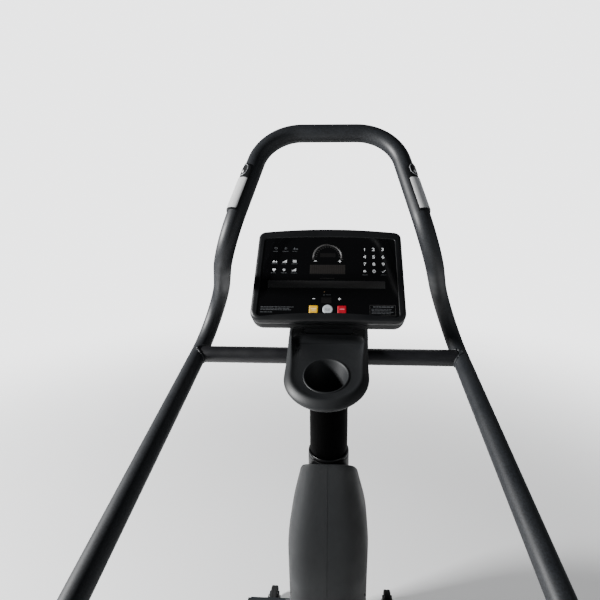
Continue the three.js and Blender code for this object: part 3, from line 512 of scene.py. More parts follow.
def turned(name, profile, material, centre, axis="z", count=64, closed=False, **rest):
    verts, faces = turned_data(profile, count, closed)
    matrix = Matrix.Translation(centre) @ AXES[axis]
    return piece(name, verts, faces, material, matrix=matrix, **rest)


def turn_towards(direction):
    """The rotation that lays +Z along a direction."""
    return Vector(direction).to_track_quat("Z", "Y").to_matrix().to_4x4()


def cylinder_tool(name, radius, start, end, count=64):
    start, end = Vector(start), Vector(end)
    matrix = Matrix.Translation(start) @ turn_towards(end - start)
    length = (end - start).length
    verts, faces = loft_data([ring_points(radius, count), ring_points(radius, count, length)])
    return new_object(name, [matrix @ v for v in verts], faces)


def arc_points(centre, radius, start, end, count):
    return [(centre[0] + radius * math.cos(a), centre[1] + radius * math.sin(a))
            for a in between(start, end, count)]


def outline(x0, x1, y0, y1, low_radius, high_radius=None, corner=8, side=10, top_bow=0, low_bow=0):
    """A rounded rectangle as an anticlockwise list of (x, y), with bowed top and bottom edges."""
    high_radius = low_radius if high_radius is None else high_radius
    quarter = math.pi / 2
    r, h = low_radius, high_radius
    corners = [
        arc_points((x1 - r, y0 + r), r, -quarter, 0, corner),
        arc_points((x1 - h, y1 - h), h, 0, quarter, corner),
        arc_points((x0 + h, y1 - h), h, quarter, 2 * quarter, corner),
        arc_points((x0 + r, y0 + r), r, 2 * quarter, 3 * quarter, corner),
    ]
    points = []
    for arc, following in zip(corners, corners[1:] + corners[:1]):
        points += arc
        for step in range(1, side):
            t = step / side
            points.append(tuple(a + (b - a) * t for a, b in zip(arc[-1], following[0])))
    middle, half = (x0 + x1) / 2, (x1 - x0) / 2
    bowed = []
    for x, y in points:
        rise = (y - y0) / (y1 - y0)
        hump = 1 - ((x - middle) / half) ** 2
        bowed.append((x, y + hump * (top_bow * rise + low_bow * (1 - rise))))
    return bowed


def lift(points, z):
    return [Vector((x, y, z)) for x, y in points]


def slab(name, points, z0, z1, edge, material, **rest):
    """A plate from an outline, its top edge rounded over by insetting towards the middle."""
    centre = sum((Vector(p) for p in points), Vector((0, 0))) / len(points)
    reach = max((Vector(p) - centre).length for p in points)
    rings = [lift(points, z0)]
    for a in between(0, math.pi / 2, 3):
        shrink = 1 - edge * (1 - math.cos(a)) / reach
        ring = [centre + (Vector(p) - centre) * shrink for p in points]
        rings.append(lift([tuple(p) for p in ring], z1 - edge + edge * math.sin(a)))
    return loft(name, rings, material, **rest)

# ---------------------------------------------------------------- tubes

BEND_STEP = math.radians(4)
RUN_STEP = 0.03


def bent_path(corners, bends):
    """Places and directions along straight runs joined by arcs."""
    places = [corners[0].copy()]
    directions = [(corners[1] - corners[0]).normalized()]
    for before, corner, after, radius in zip(corners, corners[1:], corners[2:], bends):
        incoming = (corner - before).normalized()
        outgoing = (after - corner).normalized()
        turn = incoming.angle(outgoing)
        axis = incoming.cross(outgoing).normalized()
        inward = axis.cross(incoming)
        start = corner - incoming * radius * math.tan(turn / 2)
        centre = start + inward * radius
        count = max(2, round(turn / BEND_STEP))
        for angle in between(0, turn, count):
            swing = Matrix.Rotation(angle, 3, axis)
            places.append(centre + swing @ (-inward * radius))
            directions.append(swing @ incoming)
    places.append(corners[-1].copy())
    directions.append(directions[-1].copy())
    return places, directions


def spread_path(places, directions):
    """Adds places along the long straight runs, so that the mesh is even."""
    out_places, out_directions = [places[0]], [directions[0]]
    for a, b, direction in zip(places, places[1:], directions[1:]):
        count = max(1, round((b - a).length / RUN_STEP))
        for i in range(1, count + 1):
            out_places.append(a.lerp(b, i / count))
            out_directions.append(direction)
    return out_places, out_directions


def sweep_rings(places, directions, radius, count=40):
    rings = []
    side = directions[0].orthogonal().normalized()
    for place, direction in zip(places, directions):
        side = (side - direction * side.dot(direction)).normalized()
        other = direction.cross(side)
        rings.append([place + (side * math.cos(a) + other * math.sin(a)) * radius
                      for a in around(count)])
    return rings


def tube(name, places, directions, radius, wall, material, **rest):
    """An open-ended tube with a real bore and slightly rounded rims."""
    outer = sweep_rings(places, directions, radius)
    inner = sweep_rings(places, directions, radius - wall)
    rim = 0.0006
    first = sweep_rings(places[:1], directions[:1], radius - rim)[0]
    outer[0] = [v + directions[0] * rim for v in outer[0]]
    outer[-1] = [v - directions[-1] * rim for v in outer[-1]]
    last = [v + (places[-1] - v).normalized() * rim + directions[-1] * rim for v in outer[-1]]
    return loft(name, [first, *outer, last, *reversed(inner)], material, closed=True, **rest)


def mirrored(point, side):
    return Vector((point.x * side, point.y, point.z))


def rail_point(y):
    share = (RAIL_ELBOW.y - y) / (RAIL_ELBOW.y - RAIL_LOW.y)
    return RAIL_ELBOW.lerp(RAIL_LOW, share)


def round_section(place, direction, radius, count):
    """A ring of points about a place, square to a direction."""
    side = direction.orthogonal().normalized()
    other = direction.cross(side)
    return [place + (side * math.cos(a) + other * math.sin(a)) * radius for a in around(count)]


def closed_cord(name, places, radii, count, material, slot):
    """A thin round bead along a closed loop of places."""
    after = places[1:] + places[:1]
    rings = [round_section(place, (after[i] - places[i - 1]).normalized(), radius, count)
             for i, (place, radius) in enumerate(zip(places, radii))]
    loft(name, rings, material, closed=True, slot=slot)


def bead(name, places):
    """A closed weld bead along a loop of places, with an uneven rippled section."""
    radii = [WELD * (1 + 0.14 * math.sin(i * 2.1) + random.uniform(-0.05, 0.05))
             for i in range(len(places))]
    closed_cord(name, places, radii, 10, RAIL_PAINT, "powder_coat")


def make_handrail():
    right = [RAIL_TOP_CORNER, RAIL_KNEE, RAIL_ELBOW, rail_point(RAIL_SPLIT_Y)]
    left = [mirrored(p, -1) for p in reversed(right)]
    path = spread_path(*bent_path(left + right, [RAIL_BEND] * 6))
    tube("rail_hoop_tube", *path, RAIL_RADIUS, RAIL_WALL, RAIL_PAINT,
         replaces=["handrail_hoop"], slot="powder_coat")
    for name, side in SIDES:
        corners = [rail_point(RAIL_SPLIT_Y - 0.0003), rail_point(LEG_CORNER_Y), LEG_FOOT]
        path = spread_path(*bent_path([mirrored(p, side) for p in corners], [LEG_BEND]))
        tube(f"{name}_leg_tube", *path, RAIL_RADIUS, RAIL_WALL, RAIL_PAINT,
             replaces=[f"{name}_rear_leg"], slot="powder_coat")
        make_leg_plate(name, side, path[1][-1])


def make_leg_plate(name, side, direction):
    """The plate welded to the foot of a rear leg, its weld and its four bolts."""
    x, y = LEG_FOOT.x * side, LEG_FOOT.y
    low, high = 0.0953, 0.103
    points = outline(x - 0.033, x + 0.033, y - 0.029, y + 0.029, 0.008, corner=5, side=2)
    slab(f"{name}_leg_plate", points, low, high, 0.0012, RAIL_PAINT, slot="powder_coat")
    share = (LEG_FOOT.z - high) / direction.z
    centre = LEG_FOOT - direction * share
    loop = [Vector((x + 0.0196 * math.cos(a), centre.y + 0.0199 * math.sin(a), high + 0.001))
            for a in around(48)]
    bead(f"{name}_leg_weld", loop)
    for i, (dx, dy) in enumerate(((-1, -1), (-1, 1), (1, -1), (1, 1))):
        bolt(f"{name}_leg_bolt_{i}", (x + dx * 0.026, y + dy * 0.0225, high), "z", 0.0042)


def hex_points(radius):
    return ring_points(radius, 6)


def bolt(name, place, axis, radius, body="root", flip=False):
    """A hexagon bolt head on a washer, seen from its outer side."""
    turn = AXES[axis] @ (Matrix.Rotation(math.pi, 4, "X") if flip else Matrix.Identity(4))
    washer = [(radius * 0.5, 0), (radius * 1.45, 0), (radius * 1.5, radius * 0.1),
              (radius * 1.45, radius * 0.2), (radius * 0.5, radius * 0.2)]
    head = [[Vector((v.x * scale, v.y * scale, radius * z)) for v in hex_points(radius)]
            for scale, z in ((1.0, 0.2), (1.0, 0.85), (0.93, 0.98), (0.78, 1.0))]
    verts, faces = joined([turned_data(washer, 32, closed=True), loft_data(head)])
    piece(name, verts, faces, ZINC, body=body, matrix=Matrix.Translation(place) @ turn,
          slot="steel")


def make_crossbar():
    """The crossbar, coped to the rails, with a bead round each end."""
    low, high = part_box("crossbar")

    def skin(radius):
        return [[Matrix.Translation((x, CROSSBAR.y, CROSSBAR.z)) @ AXES["x"] @ v
                 for v in ring_points(radius, 56)] for x in between(low.x, high.x, 24)]

    bar = loft("crossbar_tube", skin(RAIL_RADIUS) + skin(RAIL_RADIUS - RAIL_WALL)[::-1], BAR_PAINT,
               closed=True, replaces=["crossbar"], slot="powder_coat")
    tools = []
    for name, side in SIDES:
        right = [RAIL_KNEE, RAIL_ELBOW, rail_point(RAIL_SPLIT_Y)]
        path = spread_path(*bent_path([mirrored(p, side) for p in right], [RAIL_BEND]))
        tools.append(new_object(f"{name}_coping", *loft_data(sweep_rings(*path, RAIL_RADIUS + 0.0004))))
    carve(bar, tools)
    direction = (RAIL_LOW - RAIL_ELBOW).normalized()
    reach = RAIL_RADIUS + 0.0006
    for name, side in SIDES:
        along = mirrored(direction, side)
        base = mirrored(rail_point(CROSSBAR.y), side)
        bead(f"{name}_crossbar_weld", [
            coped_place(CROSSBAR.y + reach * math.cos(a), CROSSBAR.z + reach * math.sin(a), base,
                        along, side) for a in around(48)])


def coped_place(y, z, base, along, side):
    """Where a line along X at y and z meets a rail's near surface."""
    across = Vector((1, 0, 0))
    start = Vector((0, y, z)) - base
    flat_line = across - along * across.dot(along)
    flat_start = start - along * start.dot(along)
    a = flat_line.dot(flat_line)
    b = 2 * flat_line.dot(flat_start)
    c = flat_start.dot(flat_start) - RAIL_RADIUS ** 2
    root = math.sqrt(max(b * b - 4 * a * c, 0))
    return Vector(((-b - side * root) / (2 * a), y, z))


make_handrail()
make_crossbar()

# ---------------------------------------------------------------- carried-over CAD nodes

SMOOTH_LIMIT = 0.6


def smooth_by_angle():
    """A node group that shades a mesh smooth, except where it turns by more than the limit."""
    group = bpy.data.node_groups.new("smooth_by_angle", "GeometryNodeTree")
    for way in ("INPUT", "OUTPUT"):
        group.interface.new_socket("Geometry", in_out=way, socket_type="NodeSocketGeometry")
    start, end = add_node(group, "NodeGroupInput"), add_node(group, "NodeGroupOutput")
    angle = add_node(group, "GeometryNodeInputMeshEdgeAngle")
    compare = add_node(group, "FunctionNodeCompare", {"B": SMOOTH_LIMIT}, operation="GREATER_THAN")
    edges = add_node(group, "GeometryNodeSetShadeSmooth", {"Shade Smooth": False}, domain="EDGE")
    faces = add_node(group, "GeometryNodeSetShadeSmooth", {"Shade Smooth": True}, domain="FACE")
    link = group.links.new
    link(angle.outputs["Unsigned Angle"], compare.inputs["A"])
    link(compare.outputs["Result"], edges.inputs["Selection"])
    link(start.outputs[0], edges.inputs["Geometry"])
    link(edges.outputs["Geometry"], faces.inputs["Geometry"])
    link(faces.outputs["Geometry"], end.inputs[0])
    return group


SMOOTH = smooth_by_angle()


def refine(node, material, width=0.0, segments=2):
    """Keeps a CAD node, with rounded edges, smooth curves and a better material."""
    obj = bpy.data.objects[node]
    for slot in obj.material_slots:
        slot.material = material
    if width:
        obj.modifiers.new("weld", "WELD").merge_threshold = 1e-5
        bevel(obj, width, segments, 40)
    obj.modifiers.new("smooth", "NODES").node_group = SMOOTH


# ---------------------------------------------------------------- mast and collar

def make_mast():
    low, high, inner = 0.698, 1.250, MAST_RADIUS - 0.003
    profile = [(inner, low), (MAST_RADIUS - 0.001, low), (MAST_RADIUS, low + 0.001),
               (MAST_RADIUS, high - 0.001), (MAST_RADIUS - 0.001, high), (inner, high)]
    turned("mast_tube", profile, MAST_BLACK_AND_SHADE, (0, MAST_Y, 0), count=96, closed=True,
           replaces=["mast"], slot="black_paint")
    profile = [(0.0504, 0.797), (0.0540, 0.796), (0.0545, 0.799), (0.0545, 0.9085),
               (0.0541, 0.9100), (0.0534, 0.9106), (0.0534, 0.9125), (0.0541, 0.9135),
               (0.0543, 0.9160), (0.0537, 0.9190), (0.0525, 0.9208), (0.0512, 0.9208),
               (0.0504, 0.9195)]
    turned("mast_collar_ring", profile, COLLAR_RUBBER, (0, MAST_Y, 0), count=96, closed=True,
           replaces=["mast_collar"], slot="rubber")


make_mast()

# ---------------------------------------------------------------- shroud

def bezier(a, b, c, d, t):
    s = 1 - t
    return tuple(s ** 3 * p + 3 * s * s * t * q + 3 * s * t * t * r + t ** 3 * u
                 for p, q, r, u in zip(a, b, c, d))


def reading(curve, height):
    """The first coordinate of a curve at a height, from points of (value, height)."""
    for (a, low), (b, high) in zip(curve, curve[1:]):
        if height <= high:
            share = 0 if high == low else (height - low) / (high - low)
            return a + (b - a) * max(share, 0)
    return curve[-1][0]


STEPS = between(0, 1, 24)
SHROUD_WIDE = 0.112
SHROUD_USER_Y = 0.182
SHROUD_FAR_Y = 0.546
SHROUD_FOOT = 0.104
SHROUD_SHOULDER = 0.420
SHROUD_TOP = 0.915
SHROUD_HALF = [(SHROUD_WIDE, 0.0)] + [
    bezier((SHROUD_WIDE, 0.640), (SHROUD_WIDE, 0.725), (0.074, 0.840), (0.0695, 0.905), t)
    for t in STEPS
] + [(0.0688, 0.909), (0.0674, 0.9125), (0.0655, 0.915), (0.061, 0.919)]
SHROUD_USER = [(SHROUD_USER_Y, 0.0)] + [
    bezier((SHROUD_USER_Y, 0.560), (SHROUD_USER_Y, 0.700), (0.226, 0.780), (0.238, 0.919), t)
    for t in STEPS
]
SHROUD_FAR = [
    bezier((SHROUD_FAR_Y, SHROUD_SHOULDER), (SHROUD_FAR_Y, 0.640), (0.400, 0.690), (0.360, 0.802), t)
    for t in STEPS
]
SHROUD_WALL = 0.003
SHROUD_POWER = 0.5
SEAM_GAP = 0.0004


def shroud_loop(user, far, rise, inset):
    """One level of a shroud half: outside from the user's side round to the far side, then back."""
    middle = ((user[0] + far[0]) / 2, (user[1] + far[1]) / 2)
    reach = ((far[0] - user[0]) / 2, (far[1] - user[1]) / 2)
    loop = []
    for shrink, order in ((inset, 1), (inset + SHROUD_WALL, -1)):
        layer = []
        for a in between(-math.pi / 2, math.pi / 2, 40):
            across = abs(math.cos(a)) ** SHROUD_POWER
            along = math.copysign(abs(math.sin(a)) ** SHROUD_POWER, math.sin(a))
            scale = 1 - shrink / reach[0]
            y = middle[0] + reach[0] * along * scale
            z = middle[1] + reach[1] * along * scale
            half = reading(SHROUD_HALF, z) - shrink
            layer.append(Vector((max(half * across, SEAM_GAP), y, z + rise * (order > 0))))
        loop += layer[::order]
    return loop


def collar_loop(user, far, rise, radius):
    """The last level of a shroud half, which closes round the mast's collar."""
    slope = (far[1] - user[1]) / (far[0] - user[0])
    loop = []
    for drop, order in ((0, 1), (SHROUD_WALL, -1)):
        layer = []
        for a in between(-math.pi / 2, math.pi / 2, 40):
            y = MAST_Y + radius * math.sin(a)
            z = user[1] + slope * (y - user[0]) + rise - drop
            layer.append(Vector((max(radius * math.cos(a), SEAM_GAP), y, z)))
        loop += layer[::order]
    return loop


def shroud_surface(y, z):
    """How far out the lower body of the shroud stands at a place on its side."""
    user, far = reading(SHROUD_USER, z), SHROUD_FAR_Y
    along = (2 * y - user - far) / (far - user)
    return SHROUD_WIDE * (1 - abs(along) ** (2 / SHROUD_POWER)) ** (SHROUD_POWER / 2)


def arc_band_tool(name, side, inner, outer, start, end, x0, x1):
    """A cutter for the way of a pin that swings about the axle."""
    angles = between(start, end, 16)
    rim = [(outer, a) for a in angles] + [(inner, a) for a in reversed(angles)]
    rings = [[Vector((x * side, AXLE.y + r * math.cos(a), AXLE.z + r * math.sin(a)))
              for r, a in rim] for x in (x0, x1)]
    return new_object(name, *loft_data(rings))


def slot_tool(name, side, y, z, length, width):
    points = outline(y - length / 2, y + length / 2, z - width / 2, z + width / 2,
                     width / 2 - 1e-4, corner=6, side=2)
    rings = [[Vector((x * side, p, q)) for p, q in points] for x in (0.085, 0.135)]
    return new_object(name, *loft_data(rings))


def shroud_levels():
    """The user's side and the far side of each level, from the floor plate up."""
    levels = [((SHROUD_USER_Y, z), (SHROUD_FAR_Y, z))
              for z in between(SHROUD_FOOT, SHROUD_SHOULDER, 8)]
    for share in between(0, 1, 30)[1:]:
        z = SHROUD_SHOULDER + (SHROUD_TOP - SHROUD_SHOULDER) * share
        levels.append(((reading(SHROUD_USER, z), z), far_point(share)))
    return levels


def shroud_tools(side):
    """Cutters for the axle, the levelling link, the chain pin's way and the vents."""
    near_x, far_x = side * 0.06, side * 0.2
    rest, travel = math.radians(25), math.radians(30)
    spare = 0.010 / 0.130
    tools = [
        cylinder_tool("axle_way", 0.020, (near_x, AXLE.y, AXLE.z), (far_x, AXLE.y, AXLE.z)),
        cylinder_tool("link_way", 0.012, (near_x, AXLE.y, AXLE.z - 0.06),
                      (far_x, AXLE.y, AXLE.z - 0.06)),
        arc_band_tool("chain_way", side, 0.120, 0.140, math.pi - rest - spare,
                      math.pi - rest + travel + spare, 0.09, 0.13),
    ]
    return tools + [slot_tool(f"vent_{row}", side, 0.440 + 0.004 * row, 0.290 + 0.016 * row,
                              0.090 - 0.004 * row, 0.006) for row in range(7)]


def make_shroud():
    levels = shroud_levels()
    user, far = levels[-1]
    for name, side in SIDES:
        loops = [shroud_loop(*level, 0, 0) for level in levels]
        loops[0] = shroud_loop(*levels[0], 0, 0.002)
        loops.insert(1, shroud_loop(*((p[0], p[1] + 0.003) for p in levels[0]), 0, 0))
        for rise, inset in ((0.0015, 0.0006), (0.0030, 0.0020), (0.0038, 0.0042)):
            loops.append(shroud_loop(user, far, rise, inset))
        loops.append(collar_loop(user, far, 0.0040, 0.0553))
        loops = [[mirrored(v, side) for v in loop] for loop in loops]
        shell = loft(f"{name}_shroud_shell", loops, SHROUD_PLASTIC,
                     replaces=[f"{name}_shroud"], slot="grey_plastic")
        carve(shell, shroud_tools(side), 40)
        places = ((0.225, 0.135), (0.505, 0.135), (0.215, 0.330), (0.505, 0.330),
                  (0.225, 0.520), (0.300, 0.600))
        for i, (y, z) in enumerate(places):
            x = shroud_surface(y, z) - 0.0006
            screw(f"{name}_shroud_screw_{i}", (side * x, y, z), (side, 0, 0), 0.0048)


def far_point(share):
    """A place on the shroud's far edge, from the shoulder at 0 to the top at 1."""
    place = share * 24
    low = min(int(place), 23)
    return tuple(a + (b - a) * (place - low) for a, b in zip(SHROUD_FAR[low], SHROUD_FAR[low + 1]))


def screw(name, place, out, radius, material=SCREW_BLACK):
    """A button-head screw with a hexagon socket, its head facing along out."""
    dome = [(0, -0.4), (0.96, -0.4), (1.0, -0.02), (0.97, 0.14), (0.86, 0.34), (0.66, 0.50),
            (0.47, 0.57)]
    rings = [ring_points(max(r, 0.01) * radius, 24, z * radius) for r, z in dome]
    for scale, z in ((0.42, 0.56), (0.42, 0.14), (0.02, 0.10)):
        ring = []
        for a in around(24):
            wedge = (a % (TAU / 6)) - TAU / 12
            reach = scale * radius * math.cos(math.pi / 6) / math.cos(wedge)
            ring.append(Vector((reach * math.cos(a), reach * math.sin(a), z * radius)))
        rings.append(ring)
    loft(name, rings, material, slot="steel", angle=40,
         matrix=Matrix.Translation(place) @ turn_towards(out))


def make_seam_strip():
    """The strip behind the seam of the two halves on the user's side, which closes it to light."""
    rings = []
    for z in between(0.112, 0.900, 32):
        near = reading(SHROUD_USER, z) + SHROUD_WALL + SEAM_GAP
        rings.append([Vector((x, near + deep, z))
                      for x, deep in ((-0.005, 0), (0.005, 0), (0.005, 0.0015), (-0.005, 0.0015))])
    loft("shroud_seam_strip", rings, DARK_PLASTIC, slot="grey_plastic")


make_shroud()
make_seam_strip()

# ---------------------------------------------------------------- cup holder tray and neck

def smoothstep(value, low, high):
    share = min(max((value - low) / (high - low), 0), 1)
    return share * share * (3 - 2 * share)


def tray_plan(inset, back=TRAY_BACK, spread=0):
    """The tray's plan as a whole ring, from its front round its right side.

    The spread is how much wider it is at its back than the inset alone would make it.
    """
    centre = TRAY_FRONT + TRAY_HALF
    radius = TRAY_HALF - inset
    end = back - inset
    corner = TRAY_CORNER
    half = [(radius * math.sin(a), centre - radius * math.cos(a))
            for a in between(0, math.pi / 2, 28)]

    def width(y):
        return radius + 0.006 * smoothstep(y, 0.02, 0.2) + spread * smoothstep(y, 0, 0.14)

    half += [(width(y), y) for y in between(centre, end - corner, 20)[1:]]
    half += [(width(end) - corner + corner * math.cos(a), end - corner + corner * math.sin(a))
             for a in between(0, math.pi / 2, 8)[1:]]
    half.append((0, end))
    return half + [(-x, y) for x, y in reversed(half[1:-1])]


def tray_depth(y):
    return 0.034 + 0.054 * smoothstep(y, -0.060, 0.080)


def symmetric_loft_data(rings):
    """A loft whose two ends are closed by strips across the middle plane."""
    verts, faces = loft_data(rings, caps=False)
    count = len(rings[0])
    last = (len(rings) - 1) * count
    for j in range(count // 2):
        left, after = (count - j) % count, count - j - 1
        for base in (0, last):
            corners = [base + left, base + j, base + j + 1, base + after]
            faces.append(tuple(dict.fromkeys(corners)))
    return verts, faces


def dish_height(y, depth):
    """The height of the tray's dish, a little deeper behind the cup."""
    return -depth - 0.005 * smoothstep(y, 0.045, 0.105) * depth / 0.003


DISH_DEPTH = 0.0031


def make_tray():
    rings = []
    hull = [(0.024, 0.014, 1), (0.016, 0.014, 0.92), (0.010, 0.014, 0.74), (0.0055, 0.014, 0.54),
            (0.0025, 0.014, 0.32), (0.0008, 0.014, 0.14), (0, 0.0145, 0), (0.0002, 0.0125, 0),
            (0.0016, 0.0098, 0), (0.0050, 0.0060, 0), (0.0095, 0.0024, 0), (0.0125, 0.0008, 0),
            (0.0150, 0.0001, 0), (0.0168, 0.0004, 0)]
    for inset, drop, share in hull:
        rings.append([Vector((x, y, -drop - share * (tray_depth(y) - 0.014)))
                      for x, y in tray_plan(inset, spread=0 if share else inset / 2)])
    for inset, drop in ((0.0182, 0.0007), (0.0200, 0.0012), (0.0235, 0.0019), (0.0290, 0.0026),
                        (0.0360, DISH_DEPTH)):
        back = TRAY_BACK - 0.111 + 0.6 * inset
        rings.append([Vector((x, y, dish_height(y, drop)))
                      for x, y in tray_plan(inset, back, inset / 2)])
    verts, faces = symmetric_loft_data(rings)
    tray = piece("tray_body", verts, faces, TRAY_PLASTIC, matrix=TRAY_FRAME,
                 replaces=["cup_holder_tray"], slot="dark_plastic", angle=40)
    carve(tray, [
        cylinder_tool("cup_way", CUP_RADIUS + 0.0015, (0, CUP.y, 1.150), (0, CUP.y, 1.300), 96),
        cylinder_tool("bar_way", RAIL_RADIUS + 0.0018, (-0.13, CROSSBAR.y, CROSSBAR.z),
                      (0.13, CROSSBAR.y, CROSSBAR.z)),
        cylinder_tool("mast_way", MAST_RADIUS + 0.0015, (0, MAST_Y, 1.0), (0, MAST_Y, 1.253), 96),
    ], 40)
    make_cup()


def tray_top(y):
    return TRAY_FRAME.translation.z + math.tan(TRAY_TILT) * (y - TRAY_FRAME.translation.y)


def make_cup():
    """The cup well: a lip that follows the tilted tray, and a tapering wall to a level floor."""
    floor = CUP.z - CUP_DEPTH
    rings = []

    def ring(radius, height, share):
        points = []
        for a in around(96):
            x, y = radius * math.cos(a), CUP.y + radius * math.sin(a)
            along = (y - TRAY_ORIGIN[1]) / math.cos(TRAY_TILT)
            rim = tray_top(y) + dish_height(along, DISH_DEPTH) + height
            points.append(Vector((x, y, rim + (floor - rim) * share)))
        return points

    lip = [(0.0030, -0.0006), (0.0036, 0.0003), (0.0030, 0.0011), (0.0018, 0.0015),
           (0.0004, 0.0010), (-0.0006, -0.0006), (-0.0010, -0.0028)]
    for grow, height in lip:
        rings.append(ring(CUP_RADIUS + grow, height, 0))
    for share in (0.2, 0.4, 0.6, 0.8, 0.9):
        rings.append(ring(CUP_RADIUS - 0.0012 - 0.0095 * share, 0, share))
    for grow, share in ((-0.0118, 0.955), (-0.0135, 0.985), (-0.0165, 0.998), (-0.025, 1.0)):
        rings.append(ring(CUP_RADIUS + grow, 0, share))
    inner = len(rings)
    rings.append(ring(0.002, 0, 1.0))
    for grow, share in ((-0.006, 1.05), (-0.0085, 1.0), (-0.0085, 0.9), (-0.003, 0.5)):
        rings.append(ring(CUP_RADIUS + grow, 0, share))
    rings[inner + 1] = [Vector((v.x, v.y, floor - 0.003)) for v in ring(0.030, 0, 1)]
    rings.insert(inner + 1, [Vector((v.x, v.y, floor - 0.003)) for v in ring(0.002, 0, 1)])
    rings.append(ring(CUP_RADIUS + 0.0010, -0.004, 0))
    loft("cup_well", rings, TRAY_PLASTIC, closed=True, slot="dark_plastic", angle=50)


def make_neck():
    lift = 0.0006
    back = SHELL_DEPTH + 0.0003
    origin = Vector(FACE_ORIGIN[1:])

    def behind(up):
        return origin + Vector((math.sin(FACE_TILT) * back + math.cos(FACE_TILT) * up,
                                -math.cos(FACE_TILT) * back + math.sin(FACE_TILT) * up))

    near, far = 0.242, 0.346
    low = (near - behind(0).x) / math.cos(FACE_TILT)
    profile = [(near, tray_top(near) + lift), (far, tray_top(far) + lift), (0.356, 1.372),
               tuple(behind(0.034)), (near, behind(low).y)]
    rings = [[Vector((x, y, z)) for y, z in profile] for x in (-0.0585, 0.0585)]
    neck = loft("console_neck_moulding", rings, TRAY_PLASTIC,
                replaces=["console_neck"], slot="dark_plastic")
    round_off(neck, 0.005, 4)
    for i, (side, z) in enumerate(((-1, 1.300), (1, 1.300), (-1, 1.350), (1, 1.350))):
        screw(f"neck_screw_{i}", (side * 0.0583, 0.325, z), (side, 0, 0), 0.0042)


make_tray()
make_neck()

# ---------------------------------------------------------------- console

def face_ring(inset, z):
    """The console's outline, bowed along the top and rounder at the bottom."""
    points = outline(-FACE_HALF + inset, FACE_HALF - inset, FACE_LOW + inset, FACE_HIGH - inset,
                     0.024 - inset * 0.6, 0.015 - inset * 0.5, 10, 16, 0.0105)
    return lift(points, z)


def window_ring(grow, z):
    points = outline(-SCREEN_HALF - grow, SCREEN_HALF + grow, -0.0895 - grow, SCREEN_HIGH + grow,
                     0.007 + grow, 0.007 + grow, 10, 16, 0.006, 0.0105)
    return lift(points, z)


def make_bezel():
    rings = [
        window_ring(0.0002, -0.0200), window_ring(0.0002, -0.0024), window_ring(0.0006, -0.0012),
        window_ring(0.0016, -0.0005), window_ring(0.0030, -0.0006), face_ring(0.0100, -0.0004),
        face_ring(0.0070, -0.0002), face_ring(0.0045, -0.0009), face_ring(0.0024, -0.0024),
        face_ring(0.0009, -0.0048), face_ring(0.0001, -0.0080), face_ring(0, -0.0110),
        face_ring(0, -0.0205), face_ring(0.0006, -0.0220), face_ring(0.0040, -0.0220),
        face_ring(0.0045, -0.0200),
    ]
    loft("bezel_frame", rings, BEZEL_PLASTIC, closed=True, matrix=FACE_FRAME,
         replaces=["console_bezel"], slot="dark_plastic", angle=50)


def shell_rings(shrink):
    """The back shell's levels, from its rim to its rounded back."""
    rings = [face_ring(shrink, -0.0223), face_ring(shrink, -0.0360)]
    for a in between(0, math.pi / 2, 8)[1:]:
        inset = shrink + 0.012 * (1 - math.cos(a))
        rings.append(face_ring(inset, -0.036 - (0.026 - shrink) * math.sin(a)))
    return rings


def make_back_shell():
    outside, inside = shell_rings(0), shell_rings(0.003)
    verts, faces = loft_data(outside + inside[::-1], caps=False)
    layers, count = len(outside), len(outside[0])
    faces += [tuple(range(layers * count - count, layers * count)),
              tuple(range(layers * count, layers * count + count))]
    faces = [f for f in faces if not joins_back(f, layers, count)]
    last = (2 * layers - 1) * count
    faces += [(j, (j + 1) % count, last + (j + 1) % count, last + j) for j in range(count)]
    shell = piece("back_shell", verts, faces, SHELL_PLASTIC, matrix=FACE_FRAME,
                  replaces=["console_back_shell"], slot="dark_plastic", angle=50)
    tools = []
    for row in range(6):
        v = 0.062 + 0.0085 * row
        for side in (-1, 1):
            points = outline(side * 0.085 - 0.040, side * 0.085 + 0.040, v - 0.0018, v + 0.0018,
                             0.0016, corner=4, side=2)
            tools.append(prism_tool(f"vent_{row}_{side}", points, -0.070, -0.055, FACE_FRAME))
    carve(shell, tools, 50)
    for i, (u, v) in enumerate(((-0.148, 0.100), (0.148, 0.100), (-0.148, -0.076), (0.148, -0.076),
                                (0, 0.112))):
        place = FACE_FRAME @ Vector((u, v, -SHELL_DEPTH + 0.0004))
        screw(f"back_shell_screw_{i}", place, FACE_FRAME.to_3x3() @ Vector((0, 0, -1)), 0.0040)


def joins_back(face, layers, count):
    """True for a wall between the outer and inner skins at the closed back."""
    span = {v // count for v in face}
    return span == {layers - 1, layers}


def make_overlay():
    rings = [window_ring(0, -0.0052), window_ring(0, -0.0024), window_ring(-0.0003, -SCREEN_DROP)]
    overlay = loft("overlay_glass", rings, OVERLAY, matrix=FACE_FRAME,
                   replaces=["display_overlay"], slot="screen", angle=50)
    tools = []
    for x, half_width, half_height, radius in KEYS:
        points = key_outline(x, half_width + 0.0006, half_height + 0.0006, radius + 0.0006)
        tools.append(prism_tool("key_way", points, -0.02, 0.01, FACE_FRAME))
    carve(overlay, tools, 50)


def key_outline(x, half_width, half_height, radius):
    return outline(x - half_width, x + half_width, KEY_Y - half_height, KEY_Y + half_height,
                   max(radius, 0.0004), corner=10, side=3)


